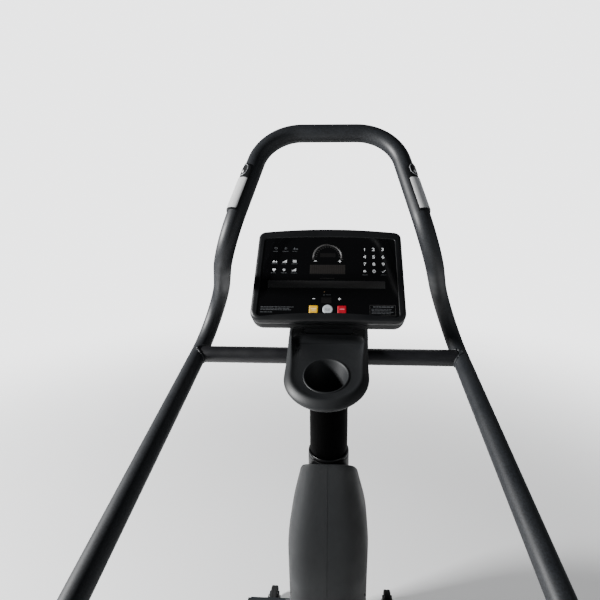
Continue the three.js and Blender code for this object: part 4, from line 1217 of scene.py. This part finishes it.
def make_keys():
    rows = zip(("yellow_key", "round_key", "red_key"), KEYS, (YELLOW, SILVER, RED),
               ("yellow_key", "silver_key", "red_key"))
    for name, (x, half_width, half_height, radius), material, slot in rows:
        rings = []
        for inset, z in ((0, -0.013), (0, -0.0025), (0.0002, -0.0017), (0.0009, -0.0011),
                         (0.0022, -0.00095), (0.0050, -0.0010)):
            points = key_outline(x, half_width - inset, half_height - inset, radius - inset)
            rings.append(lift(points, z))
        body = f"{name}_body"
        loft(f"{name}_cap", rings, material, matrix=FACE_FRAME, body=body,
             replaces=[name], slot=slot, angle=50)
    top = -0.00095
    marks("yellow_key_mark", [bar(-KEY_SPACING, KEY_Y + 0.0012, 0.0115, 0.0018),
                              bar(-KEY_SPACING, KEY_Y - 0.0024, 0.0080, 0.0010)],
          KEY_PRINT_PALE, top, body="yellow_key_body")
    marks("round_key_mark", [bar(0, KEY_Y + 0.0006, 0.0120, 0.0020),
                             bar(0, KEY_Y - 0.0030, 0.0080, 0.0010)],
          KEY_PRINT_GREY, top, body="round_key_body")
    marks("red_key_mark", [bar(KEY_SPACING, KEY_Y + 0.0006, 0.0110, 0.0020)],
          KEY_PRINT_ROSE, top, body="red_key_body")


def bar(u, v, width, height):
    return [(u - width / 2, v - height / 2), (u + width / 2, v - height / 2),
            (u + width / 2, v + height / 2), (u - width / 2, v + height / 2)]


def disc(u, v, radius, count=20):
    return [(u + radius * math.cos(TAU * i / count), v + radius * math.sin(TAU * i / count))
            for i in range(count)]


def band(u, v, inner, outer, start, end, count):
    """Quads along part of a ring."""
    quads = []
    for i in range(count):
        a, b = (start + (end - start) * j / count for j in (i, i + 1))
        quads.append([(u + r * math.cos(t), v + r * math.sin(t))
                      for r, t in ((inner, a), (outer, a), (outer, b), (inner, b))])
    return quads


def frame_marks(u0, u1, v0, v1, width):
    middle_u, middle_v = (u0 + u1) / 2, (v0 + v1) / 2
    return [bar(middle_u, v0, u1 - u0, width), bar(middle_u, v1, u1 - u0, width),
            bar(u0, middle_v, width, v1 - v0 - width), bar(u1, middle_v, width, v1 - v0 - width)]


def marks(name, shapes, material, z=-SCREEN_DROP, thickness=0.00012, body="root"):
    """Printed shapes as thin raised ink on the face, all in one mesh."""
    verts, faces = [], []
    for shape in shapes:
        base, count = len(verts), len(shape)
        verts += lift(shape, z) + lift(shape, z + thickness)
        faces.append(tuple(base + i for i in reversed(range(count))))
        faces.append(tuple(base + count + i for i in range(count)))
        for i in range(count):
            j = (i + 1) % count
            faces.append((base + i, base + j, base + count + j, base + count + i))
    piece(name, verts, faces, material, matrix=FACE_FRAME, body=body, slot="screen")


def digits(name, rows, material, size):
    """Digits as thin raised ink, one mesh for them all."""
    half_ink = 0.00006
    work = bmesh.new()
    for text, u, v in rows:
        curve = bpy.data.curves.new("digit", "FONT")
        curve.body = text
        curve.size = size
        curve.extrude = half_ink
        curve.align_x = "CENTER"
        curve.align_y = "CENTER"
        curve.resolution_u = 5
        letter = bpy.data.objects.new("digit", curve)
        bpy.context.collection.objects.link(letter)
        graph = bpy.context.evaluated_depsgraph_get()
        mesh = bpy.data.meshes.new_from_object(letter.evaluated_get(graph))
        widen = Matrix.Diagonal((1.22, 1, 1, 1))
        mesh.transform(FACE_FRAME @ Matrix.Translation((u, v, half_ink - SCREEN_DROP)) @ widen)
        work.from_mesh(mesh)
        bpy.data.objects.remove(letter)
        bpy.data.meshes.remove(mesh)
        bpy.data.curves.remove(curve)
    bmesh.ops.remove_doubles(work, verts=work.verts, dist=1e-7)
    mesh = bpy.data.meshes.new(name)
    work.to_mesh(mesh)
    work.free()
    mesh.materials.clear()
    mesh.materials.append(material)
    made = bpy.data.objects.new(name, mesh)
    bpy.context.collection.objects.link(made)
    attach(made, "root")


def icon(kind, u, v):
    """Small generic symbols for the programme keys."""
    if kind == "bars":
        return [bar(u + (i - 1.5) * 0.0026, v - 0.0036 + h / 2, 0.0016, h)
                for i, h in enumerate((0.002, 0.0036, 0.0052, 0.0068))]
    if kind == "hill":
        return [[(u - 0.0056, v - 0.0030), (u + 0.0004, v - 0.0030), (u - 0.0024, v + 0.0030)],
                [(u + 0.0010, v - 0.0030), (u + 0.0062, v - 0.0030), (u + 0.0036, v + 0.0010)]]
    if kind == "ring":
        return band(u, v, 0.0026, 0.0036, 0, TAU, 20)
    if kind == "spark":
        return [[(u + 0.0044 * math.cos(a), v + 0.0044 * math.sin(a)),
                 (u + 0.0014 * math.cos(a + 0.6), v + 0.0014 * math.sin(a + 0.6)),
                 (u + 0.0014 * math.cos(a - 0.6), v + 0.0014 * math.sin(a - 0.6))]
                for a in (TAU * i / 6 for i in range(6))]
    if kind == "heart":
        return [disc(u - 0.0019, v + 0.0010, 0.0022, 14), disc(u + 0.0019, v + 0.0010, 0.0022, 14),
                [(u - 0.0037, v + 0.0002), (u, v - 0.0042), (u + 0.0037, v + 0.0002)]]
    if kind == "tick":
        return [[(u - 0.0055, v), (u - 0.0015, v - 0.0036), (u - 0.0015, v - 0.0016)],
                [(u - 0.0015, v - 0.0036), (u + 0.0055, v + 0.0036), (u + 0.0040, v + 0.0040),
                 (u - 0.0015, v - 0.0016)]]
    if kind == "minus":
        return [bar(u, v, 0.0066, 0.0014)]
    if kind == "plus":
        return [bar(u, v, 0.0066, 0.0014), bar(u, v + 0.0020, 0.0014, 0.0026),
                bar(u, v - 0.0020, 0.0014, 0.0026)]
    return [bar(u, v + 0.0022, 0.0084, 0.0012), bar(u, v, 0.0084, 0.0012),
            bar(u, v - 0.0022, 0.0084, 0.0012)]


def programme_marks():
    """Nine small symbols in three rows, each with a dash of fine print below it."""
    grey, white = [], []
    rows = ((0.0880, 0.0085, ("ring", "spark", "hill")), (0.0520, 0.0070, ("hill", "bars", "lines")),
            (0.0285, 0.0080, ("heart", "spark", "bars")))
    for row, (v, drop, kinds) in enumerate(rows):
        for column, (kind, u) in enumerate(zip(kinds, (-0.1280, -0.1045, -0.0810))):
            (white if row else grey).extend(icon(kind, u, v))
            grey += broken_line(u - 0.0068, v - drop, 0.0136, 0.0010, row + column)
    return grey, white


def gauge_marks(u, v):
    """The arched gauge: a band with legs, and short ticks inside it."""
    ticks = [q for i in range(15) for q in band(
        u, v, 0.0256, 0.0290, i * math.pi / 14 - 0.05, i * math.pi / 14 + 0.05, 1)]
    legs = [bar(u + side * 0.0333, v - 0.0042, 0.0058, 0.0084) for side in (-1, 1)]
    return band(u, v, 0.0304, 0.0362, 0, math.pi, 44) + legs, ticks


def make_graphics():
    grey, white = programme_marks()
    arch, ticks = gauge_marks(-0.0030, 0.0652)
    for u in (0.084, 0.127):
        grey += broken_line(u - 0.0062, 0.0170, 0.0124, 0.0010, 3)
    white += band(0.084, 0.0262, 0.0012, 0.0032, 0, TAU, 14)
    white += icon("tick", 0.127, 0.0262)
    for v in (0.0530, -0.0455):
        white += icon("minus", -0.0320, v) + icon("plus", 0.0255, v)
    for row, (v, width) in enumerate(((-0.0665, 0.074), (-0.0700, 0.068), (-0.0735, 0.072),
                                      (-0.0790, 0.030))):
        grey += broken_line(-0.1500, v, width, 0.0011, row)
    grey += broken_line(0.1000, -0.0640, 0.045, 0.0020, 5)
    for row, v in enumerate((-0.0695, -0.0730, -0.0765, -0.0800)):
        grey += broken_line(0.0965, v, 0.048 - 0.006 * (row % 2), 0.0010, 9 + row)
    grey += broken_line(-0.0110, -0.0355, 0.0165, 0.0011, 2)
    marks("printed_marks_white", white, PRINT_WHITE)
    marks("printed_marks_grey", grey, PRINT_GREY)
    frame_bars = frame_marks(0.0930, 0.1490, -0.0850, -0.0600, 0.0007)
    marks("printed_marks_dim", arch + frame_bars, PRINT_DIM)
    marks("printed_marks_faint", ticks + [bar(-0.0030, 0.0070, 0.0340, 0.0011)], PRINT_FAINT)
    rows = []
    for keys, v in zip(("123", "456", "789"), (0.086, 0.065, 0.045)):
        rows += [(key, u, v) for key, u in zip(keys, (0.084, 0.105, 0.127))]
    digits("keypad_digits", rows + [("0", 0.105, 0.026)], PRINT_WHITE, 0.0118)
    make_windows()


def broken_line(u, v, width, height, seed):
    """A row of short dashes that stands for fine print."""
    dashes, end = [], u + width
    lengths = (0.0062, 0.0094, 0.0041, 0.0078, 0.0055)
    turn = seed
    while u < end - 0.003:
        length = min(lengths[turn % 5], end - u)
        dashes.append(bar(u + length / 2, v, length, height))
        u += length + 0.0011
        turn += 2
    return dashes


def cell_grid(u, v, step_u, step_v, columns, rows, width, height):
    return [bar(u + step_u * column, v + step_v * row, width, height)
            for column in range(columns) for row in range(rows)]


def make_windows():
    """The smoked windows of the console and the unlit elements seen in them."""
    def pane(*sides):
        return outline(*sides, 0.0010, corner=3, side=2)

    above, thin = -SCREEN_DROP + 0.00012, 0.0001
    marks("smoked_windows", [pane(-0.0450, 0.0390, 0.0175, 0.0434),
                             pane(-0.0150, 0.0080, -0.0560, -0.0420),
                             pane(-0.0215, 0.0155, 0.0640, 0.0750)], WINDOW)
    marks("strip_window", [pane(-0.1390, 0.1290, -0.0185, 0.0005)], STRIP_WINDOW)
    marks("dot_matrix", cell_grid(-0.0413, 0.0208, 0.0051, 0.0033, 16, 7, 0.0038, 0.0023), LED_OFF,
          above, thin)
    marks("message_strip", cell_grid(-0.1355, -0.0150, 0.0041, 0.0040, 64, 4, 0.0026, 0.0024),
          STRIP_LED_OFF, above, thin)
    marks("indicator_lamp", [bar(-0.0090, -0.0280, 0.0036, 0.0018)], LAMP)


make_bezel()
make_overlay()
make_back_shell()
make_keys()
make_graphics()

# ---------------------------------------------------------------- pulse sensors

PULSE_TURN = math.radians(49)
PULSE_TOP = 0.0020
PULSE_WRAP = math.radians(62)
OVAL_HALF = (0.0106, 0.0130)


def rail_frame(side):
    """Origin and directions of the rail's upper straight: along it, out from it and across."""
    top, knee = mirrored(RAIL_TOP_CORNER, side), mirrored(RAIL_KNEE, side)
    along = (knee - top).normalized()
    outward = Vector((side, 0, 0))
    outward = (outward - along * outward.dot(along)).normalized()
    outward = Matrix.Rotation(side * PULSE_TURN, 3, along) @ outward
    return top, along, outward, along.cross(outward)


def wrapped_strip(name, side, rows, low, high, edge, material, slot):
    """A strip laid round the rail; each row is a distance along it and half an angle across."""
    top, along, outward, across = rail_frame(side)
    rings = []
    for distance, half in rows:
        section = []
        reach = max(half, 1e-4)
        for a in between(-reach, reach, 16):
            rim = min(1, (reach - abs(a)) * RAIL_RADIUS / edge)
            height = high - edge * (1 - math.sqrt(max(0, 1 - (1 - rim) ** 2)))
            section.append((a, max(height, low + 1e-4)))
        section += [(a, low) for a in between(reach, -reach, 16)]
        rings.append([top + along * distance + (outward * math.cos(a) + across * math.sin(a))
                      * (RAIL_RADIUS + height) for a, height in section])
    return loft(name, rings, material, slot=slot, angle=40)


def strip_rows(start, end, half, radius):
    """Rows of a strip with rounded corners."""
    rows = []
    for a in between(0, math.pi / 2, 8):
        inset = radius * (1 - math.sin(a)) / RAIL_RADIUS
        rows.append((radius * (1 - math.cos(a)), half - inset))
    body = [(distance, half) for distance in between(start, end, 20)
            if start + radius < distance < end - radius]
    return ([(start + d, h) for d, h in rows] + body
            + [(end - d, h) for d, h in reversed(rows)])


def make_pulse_sensors():
    """A thin moulding on the rail with an oval recess and screw, and a steel contact below."""
    for name, side in SIDES:
        rows = strip_rows(0.0982, 0.2128, PULSE_WRAP, 0.0200)
        rows = [(d, h if d < 0.15 else PULSE_WRAP) for d, h in rows if h > 0.02]
        housing = wrapped_strip(f"{name}_pulse_base", side, rows, 0.0006, PULSE_TOP, 0.0008,
                                GLOSS_PLASTIC, "dark_plastic")
        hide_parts(f"{name}_pulse_housing")
        top, along, outward, across = rail_frame(side)
        centre = top + along * 0.1150 + outward * RAIL_RADIUS
        frame_matrix = Matrix((across, along, outward)).transposed().to_4x4()
        matrix = Matrix.Translation(centre) @ frame_matrix
        carve(housing, [prism_tool("oval_way", oval(0), -0.0022, 0.0100, matrix)], 40)
        lip = [matrix @ bent(Vector((*p, 0))) for p in oval(0.0006)]
        closed_cord(f"{name}_pulse_lip", lip, [0.0008] * len(lip), 8, SATIN_GREY, "steel")
        make_oval_floor(f"{name}_pulse_recess", matrix)
        screw(f"{name}_pulse_screw", centre + outward * 0.0008 + along * 0.0040, outward, 0.0036,
              material=CONTACT_STEEL)
        plate_rows = strip_rows(0.1358, 0.2096, math.radians(51), 0.002)
        plate = wrapped_strip(f"{name}_pulse_contact", side, plate_rows, 0.0024, 0.0031, 0.0005,
                              CONTACT_STEEL, "steel")
        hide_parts(f"{name}_pulse_plate")


def oval(grow, share=1):
    """The outline of the oval recess, made larger all round and then scaled."""
    x, y = (half + grow for half in OVAL_HALF)
    return outline(-x * share, x * share, -y * share, y * share, (x - 0.0001) * share,
                   corner=10, side=3)


def bent(place, rise=0.0):
    """A flat place laid onto the curved top of a pulse housing."""
    radius = RAIL_RADIUS + PULSE_TOP + rise
    a = place.x / radius
    return Vector((radius * math.sin(a), place.y, radius * math.cos(a) - RAIL_RADIUS))


def make_oval_floor(name, matrix):
    """The black floor of the oval recess, a thin sheet that follows the rail."""
    low, high = ([[matrix @ bent(Vector((*p, 0)), rise) for p in oval(-0.0002, share)]
                  for share in (1, 0.5, 0.02)] for rise in (-0.0012, -0.0009))
    loft(name, low[::-1] + high, BLACK_PAINT, slot="dark_plastic")


make_pulse_sensors()

# ---------------------------------------------------------------- pedals

ARM_X = 0.135
ARM_LENGTH = 0.640
ARM_REST = math.radians(25)
LINK_DROP = 0.060
PEDAL = Vector((0, AXLE.y - ARM_LENGTH * math.cos(ARM_REST),
                AXLE.z + ARM_LENGTH * math.sin(ARM_REST)))
PEDAL_X = 0.150
PEDAL_HALF = 0.068
PEDAL_BACK = -0.190
PEDAL_FRONT = 0.130
DECK = 0.046


def pedal_wall(y):
    """The height of the pedal's raised edge: low at the heel, highest at the toe."""
    side = 0.010 + 0.014 * smoothstep(y, PEDAL_BACK + 0.012, PEDAL_BACK + 0.075)
    return DECK + side + 0.016 * smoothstep(y, PEDAL_FRONT - 0.050, PEDAL_FRONT - 0.008)


def make_pedal(name, side):
    body = f"{name}_pedal_body"
    centre = side * PEDAL_X
    matrix = Matrix.Translation(PEDAL)

    def ring(inset, height):
        points = outline(centre - PEDAL_HALF + inset, centre + PEDAL_HALF - inset,
                         PEDAL_BACK + inset, PEDAL_FRONT - inset, max(0.018 - inset, 0.012),
                         corner=9, side=14)
        return [Vector((x, y, height(y))) for x, y in points]

    rings = [
        ring(0.0060, lambda y: DECK + 0.0002), ring(0.0020, lambda y: DECK + 0.0008),
        ring(0.0004, lambda y: DECK + 0.0026), ring(0.0, lambda y: DECK + 0.0050),
        ring(0.0, lambda y: pedal_wall(y) - 0.0022), ring(0.0005, lambda y: pedal_wall(y) - 0.0008),
        ring(0.0016, pedal_wall), ring(0.0030, lambda y: pedal_wall(y) - 0.0006),
        ring(0.0040, lambda y: pedal_wall(y) - 0.0026), ring(0.0046, lambda y: DECK + 0.0080),
        ring(0.0060, lambda y: DECK + 0.0078),
    ]
    loft(f"{name}_pedal_pan", rings, DARK_PLASTIC, matrix=matrix, body=body,
         replaces=[f"{name}_pedal"], slot="dark_plastic")
    make_pedal_ribs(name, side, matrix, body)
    cheek = [(-0.024, DECK + 0.0004), (-0.016, -LINK_DROP - 0.008), (-0.010, -LINK_DROP - 0.014),
             (0.010, -LINK_DROP - 0.014), (0.016, -LINK_DROP - 0.008), (0.024, DECK + 0.0004)]
    for offset in (-0.0205, 0.0205):
        x = side * ARM_X + offset
        rings = [[Vector((x + t, y, z)) for y, z in cheek] for t in (-0.0025, 0.0025)]
        plate = loft(f"{name}_clevis_{'in' if offset * side < 0 else 'out'}", rings, BASE_PAINT,
                     matrix=matrix, body=body, slot="powder_coat")
        round_off(plate, 0.0008, 2)
    for part, z, radius in (("pivot", 0, 0.010), ("link", -LINK_DROP, 0.007)):
        place = PEDAL + Vector((side * ARM_X, 0, z))
        rod_profile = [(radius * 0.9, -0.0225), (radius, -0.0218), (radius, 0.0218),
                       (radius * 0.9, 0.0225)]
        turned(f"{name}_pedal_{part}_pin", rod_profile, STEEL_X, place, "x", 40, body=body,
               slot="steel")
        for end in (-1, 1):
            bolt(f"{name}_pedal_{part}_{'nut' if end < 0 else 'head'}",
                 place + Vector((end * 0.0231, 0, 0)), "x", radius * 1.05, body, end < 0)


def make_pedal_ribs(name, side, matrix, body):
    """Stiffening ribs under the pedal deck, in one mesh."""
    centre = side * PEDAL_X
    ribs = [(y, y + 0.006, -0.050, 0.050) for y in (-0.150, -0.100, 0.060, 0.095)]
    ribs += [(-0.170, 0.115, -0.052, -0.047), (-0.170, 0.115, 0.047, 0.052)]
    verts, faces = joined(
        loft_data([[Vector((centre + x, y, z)) for x, y in ((x0, y0), (x1, y0), (x1, y1), (x0, y1))]
                   for z in (DECK - 0.008, DECK + 0.001)]) for y0, y1, x0, x1 in ribs)
    piece(f"{name}_pedal_ribs", verts, faces, DARK_PLASTIC, matrix=matrix, body=body,
          slot="dark_plastic")


def make_pad(name, side):
    """The rubber foot pad: a base mat with rounded cross ribs between two rails."""
    body = f"{name}_pedal_body"
    matrix = Matrix.Translation(PEDAL)
    centre, half = side * PEDAL_X, 0.0625
    low = DECK + 0.0083
    points = outline(centre - half, centre + half, PEDAL_BACK + 0.0055, PEDAL_FRONT - 0.0065, 0.0125,
                     corner=7, side=3)
    slab(f"{name}_pad_mat", points, low, low + 0.0034, 0.0008, RUBBER, matrix=matrix, body=body,
         replaces=[f"{name}_pedal_pad"], slot="rubber")
    top = low + 0.0032
    ribs = []
    for y in between(PEDAL_BACK + 0.022, PEDAL_FRONT - 0.024, 20):
        for x0, x1 in ((-0.050, -0.0025), (0.0025, 0.050)):
            lean = 0.006 if x1 < 0 else -0.006
            ribs.append(pad_rib(Vector((centre + x0, y - lean / 2, top)),
                                Vector((centre + x1, y + lean / 2, top)), 0.0062))
    for x in (centre - 0.0565, centre + 0.0565):
        ribs.append(pad_rib(Vector((x, PEDAL_BACK + 0.018, top)),
                            Vector((x, PEDAL_FRONT - 0.018, top)), 0.0050))
    piece(f"{name}_pad_ribs", *joined(ribs), RUBBER, matrix=matrix, body=body, slot="rubber",
          angle=50)


def pad_rib(start, end, width):
    """A low rounded rib between two places, tapered at both ends."""
    direction = (end - start).normalized()
    across = Vector((-direction.y, direction.x, 0))
    section = [(-0.5, 0), (-0.46, 0.55), (-0.30, 0.92), (0.30, 0.92), (0.46, 0.55), (0.5, 0)]
    rings = []
    for base, t, scale in ((start, 0, 0.25), (start, 0.0012, 0.8), (start, 0.003, 1),
                           (end, -0.003, 1), (end, -0.0012, 0.8), (end, 0, 0.25)):
        rings.append([base + direction * t + across * width * u * scale
                      + Vector((0, 0, 0.0038 * v * scale)) for u, v in section])
    return loft_data(rings)


# ---------------------------------------------------------------- pedal arms

def swung(centre, side):
    place = Matrix.Translation(centre + Vector((side * ARM_X, 0, 0)))
    return place @ Matrix.Rotation(-ARM_REST, 4, "X")


def hub(name, matrix, y, radius, bore, half, material, body, slot, chamfer):
    profile = [(bore, -half), (radius - chamfer, -half), (radius, -half + chamfer),
               (radius, half - chamfer), (radius - chamfer, half), (bore, half)]
    verts, faces = turned_data(profile, 64, closed=True)
    return piece(name, verts, faces, material, matrix=matrix @ Matrix.Translation((0, y, 0))
                 @ AXES["x"], body=body, slot=slot)


def section_bar(name, matrix, half_x, half_z, radius, y0, y1, material, **rest):
    points = outline(-half_x, half_x, -half_z, half_z, radius, corner=5, side=2)
    rings = [[Vector((x, y, z)) for x, z in points] for y in between(y0, y1, 12)]
    return loft(name, rings, material, matrix=matrix, **rest)


def make_arm(name, side):
    body = f"{name}_arm"
    matrix = swung(AXLE, side)
    shaft = section_bar(f"{name}_arm_bar", matrix, 0.014, 0.028, 0.005, -ARM_LENGTH + 0.012, -0.020,
                        BASE_PAINT, body=body, replaces=[f"{name}_pedal_arm"], slot="powder_coat")
    carve(shaft, [cylinder_tool("hub_way", radius, *(matrix @ Vector((x, y, 0)) for x in (-0.04, 0.04)))
                  for y, radius in ((0, 0.0327), (-ARM_LENGTH, 0.0197))])
    for part, y, radius, bore, half, material, slot, chamfer in (
            ("arm_hub", 0, 0.033, 0.0156, 0.017, BASE_PAINT, "powder_coat", 0.0015),
            ("arm_boss", -ARM_LENGTH, 0.020, 0.0106, 0.016, BASE_PAINT, "powder_coat", 0.001),
            ("arm_bush", 0, 0.0205, 0.0154, 0.0178, BRONZE, "steel", 0.0006),
            ("boss_bush", -ARM_LENGTH, 0.0138, 0.0104, 0.0168, BRONZE, "steel", 0.0005)):
        hub(f"{name}_{part}", matrix, y, radius, bore, half, material, body, slot, chamfer)
    for part, y, radius, facing in (("hub", 0, 0.0335, math.pi), ("boss", -ARM_LENGTH, 0.0203, 0)):
        for face, end in ((-1, "a"), (1, "b")):
            line = [matrix @ Vector((face * 0.0142, y + radius * math.cos(a), radius * math.sin(a)))
                    for a in between(facing - 0.55, facing + 0.55, 13)]
            open_bead(f"{name}_{part}_weld_{end}", line, 0.0021, body)
    pin = [(0.0048, -0.046), (0.006, -0.0448), (0.006, -0.0135)]
    verts, faces = turned_data([(r, z * -side) for r, z in pin], 32)
    piece(f"{name}_chain_pin", verts, faces, STEEL_X, body=body, slot="steel",
          matrix=matrix @ Matrix.Translation((0, -0.130, 0)) @ AXES["x"]
          @ Matrix.Rotation(math.pi, 4, "X"))


def open_bead(name, places, radius, body):
    """A weld bead along an open line of places, closed at its ends."""
    rings = []
    last = len(places) - 1
    for i, place in enumerate(places):
        direction = (places[min(i + 1, last)] - places[max(i - 1, 0)]).normalized()
        size = radius * (0.45 if i in (0, last) else 1 + 0.13 * math.sin(i * 2.3))
        rings.append(round_section(place, direction, size, 10))
    loft(name, rings, BASE_PAINT, body=body, slot="powder_coat")


def make_link(name, side):
    body = f"{name}_link"
    matrix = swung(AXLE - Vector((0, 0, LINK_DROP)), side)
    section_bar(f"{name}_link_bar", matrix, 0.005, 0.009, 0.0022, -ARM_LENGTH + 0.0125, -0.0125,
                BLACK_PAINT, body=body, replaces=[f"{name}_levelling_link"], slot="black_paint")
    hub(f"{name}_link_eye", matrix, 0, 0.014, 0.0086, 0.006, BLACK_PAINT, body, "black_paint", 0.0008)
    hub(f"{name}_link_end", matrix, -ARM_LENGTH, 0.014, 0.009, 0.006, BLACK_PAINT, body,
        "black_paint", 0.0008)


def make_axle():
    profile = [(0.0135, -0.158), (0.015, -0.1565), (0.015, 0.1565), (0.0135, 0.158)]
    turned("axle_bar", profile, STEEL_X, AXLE, "x", 64, replaces=["pivot_axle"], slot="steel")
    for end, side in SIDES:
        washer = [(0.0152, 0), (0.0245, 0), (0.0250, 0.0005), (0.0250, 0.0022), (0.0245, 0.0027),
                  (0.0152, 0.0027)]
        x = 0.1535 if side > 0 else -0.1535 - 0.0027
        turned(f"{end}_axle_washer", washer, ZINC, AXLE + Vector((x, 0, 0)), "x", 48, closed=True,
               slot="steel")
        bolt(f"{end}_axle_bolt", AXLE + Vector((side * 0.1581, 0, 0)), "x", 0.0095, flip=side < 0)
        bolt(f"{end}_link_anchor_bolt", AXLE + Vector((side * 0.1483, 0, -LINK_DROP)), "x", 0.0065,
             flip=side < 0)


for name, side in SIDES:
    make_pedal(name, side)
    make_pad(name, side)
    make_arm(name, side)
    make_link(name, side)
make_axle()

# ---------------------------------------------------------------- base

WHEEL = Vector((0.220, 0.585, 0.044))


def make_foot(name, x, y):
    """A levelling foot: a rubber cup on a threaded stem with a lock nut."""
    profile = [(1e-5, 0), (0.0240, 0), (0.0268, 0.0008), (0.0280, 0.0035), (0.0272, 0.0080),
               (0.0245, 0.0120), (0.0190, 0.0142), (0.0135, 0.0160), (0.0125, 0.0162)]
    turned(f"{name}_foot_cup", profile, RUBBER, (x, y, 0), count=64, replaces=[f"{name}_foot"],
           slot="rubber")
    stem = [(0.0058, 0.0150)]
    for i in range(9):
        z = 0.0170 + 0.0019 * i
        stem += [(0.0062, z), (0.0070, z + 0.0009)]
    stem += [(0.0062, 0.0345)]
    turned(f"{name}_foot_stem", stem, ZINC, (x, y, 0), count=40, slot="steel")
    rings = [[Vector((v.x, v.y, z)) for v in hex_points(r)]
             for r, z in ((0.0118, 0.0266), (0.0130, 0.0276), (0.0130, 0.0335), (0.0118, 0.0346))]
    loft(f"{name}_foot_nut", rings, ZINC, matrix=Matrix.Translation((x, y, 0)), slot="steel")


def make_wheel(name, side):
    body = f"{name}_wheel"
    place = Vector((side * WHEEL.x, WHEEL.y, WHEEL.z))
    half = 0.012
    tyre = [(0.0240, -0.0095), (0.0262, -half), (0.0325, -half), (0.0346, -0.0105), (0.0350, -0.0080),
            (0.0350, -0.0030), (0.0343, -0.0024), (0.0343, 0.0024), (0.0350, 0.0030),
            (0.0350, 0.0080), (0.0346, 0.0105), (0.0325, half), (0.0262, half), (0.0240, 0.0095)]
    turned(f"{name}_wheel_tyre", tyre, RUBBER, place, "x", 72, closed=True, body=body,
           replaces=[f"{name}_transport_wheel"], slot="rubber")
    rim = [(0.0056, -half), (0.0120, -half), (0.0130, -0.0112), (0.0140, -0.0050), (0.0225, -0.0044),
           (0.0238, -0.0090), (0.0239, 0.0090), (0.0225, 0.0044), (0.0140, 0.0050),
           (0.0130, 0.0112), (0.0120, half), (0.0056, half)]
    turned(f"{name}_wheel_hub", rim, DARK_PLASTIC, place, "x", 64, closed=True, body=body,
           slot="dark_plastic")
    for end in (-1, 1):
        bolt(f"{name}_wheel_{'nut' if end < 0 else 'bolt'}",
             place + Vector((end * 0.0191, 0, 0)), "x", 0.0058, flip=end < 0)


def make_base():
    for node in ("base_beam", "rear_crossmember"):
        refine(node, BASE_PAINT, 0.0035, 3)
    refine("front_crossmember", BASE_PAINT, 0.0018, 3)
    refine("tower_frame", BASE_PAINT, 0.0010)
    refine("rail_bracket", BLACK_PAINT, 0.0010)
    for end in ("rear", "front"):
        for name, side in SIDES:
            refine(f"{end}_{name}_end_cap", DARK_PLASTIC, 0.0022, 3)
    for name, side in SIDES:
        make_foot(f"rear_{name}", side * 0.350, -0.590)
        make_foot(f"front_{name}", side * 0.270, 0.510)
        make_wheel(name, side)
    for end, y, turn in (("rear", -0.5597, -1), ("front", 0.4797, 1)):
        for name, side in SIDES:
            line = [Vector((side * 0.0408, y - turn * 0.0005, z)) for z in between(0.037, 0.093, 15)]
            open_bead(f"{end}_{name}_beam_weld", line, WELD, "root")
        line = [Vector((x, y - turn * 0.0005, 0.0956)) for x in between(-0.038, 0.038, 19)]
        open_bead(f"{end}_top_beam_weld", line, WELD, "root")


def make_drive():
    refine("console_circuit_board", BOARD)
    refine("drive_shaft", STEEL_X, 0.0008)
    refine("drive_pulley", CASTING, 0.0006)
    refine("drive_belt", BELT_RUBBER, 0.0004)
    refine("alternator_body", CASTING, 0.0015)
    refine("alternator_rotor", STEEL_X, 0.0006)
    for name, side in SIDES:
        refine(f"{name}_sprocket", STEEL_X, 0.0004)
        refine(f"{name}_shaft_bearing", CASTING, 0.0006)
        refine(f"{name}_return_spring", STEEL_X)
        make_chain(f"{name}_drive_chain")
        make_chain(f"{name}_return_chain")


PITCH = 0.0127


def link_plate(x, y, z):
    """One waisted side plate of a roller chain, from one roller up to the next."""
    plan = []
    for a in around(24):
        swell = 0.0039 - 0.0010 * (abs(math.sin(a)) < 0.35)
        reach = PITCH / 2 + (PITCH / 2) * math.tanh(2.4 * math.sin(a)) + 0.0036 * math.sin(a)
        plan.append((swell * math.cos(a), reach))
    return loft_data([[Vector((x + t, y + a, z + b)) for a, b in plan] for t in (-0.0005, 0.0005)])


def make_chain(node):
    """Roller chain links laid along the straight strand that the CAD node stands for."""
    low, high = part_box(node)
    x, y = (low.x + high.x) / 2, (low.y + high.y) / 2
    count = int((high.z - low.z - 0.004) / PITCH)
    start = low.z + (high.z - low.z - count * PITCH) / 2
    links = []
    for i in range(count + 1):
        z = start + PITCH * i
        links.append(loft_data([[Vector((x + t, y + p.x, z + p.y)) for p in ring_points(0.0034, 14)]
                                for t in (-0.0024, 0.0024)]))
        if i < count:
            offset = 0.0029 if i % 2 else 0.0041
            links += [link_plate(x + face * offset, y, z) for face in (-1, 1)]
    piece(f"{node}_links", *joined(links), STEEL_X, replaces=[node], slot="steel")


make_base()
make_drive()
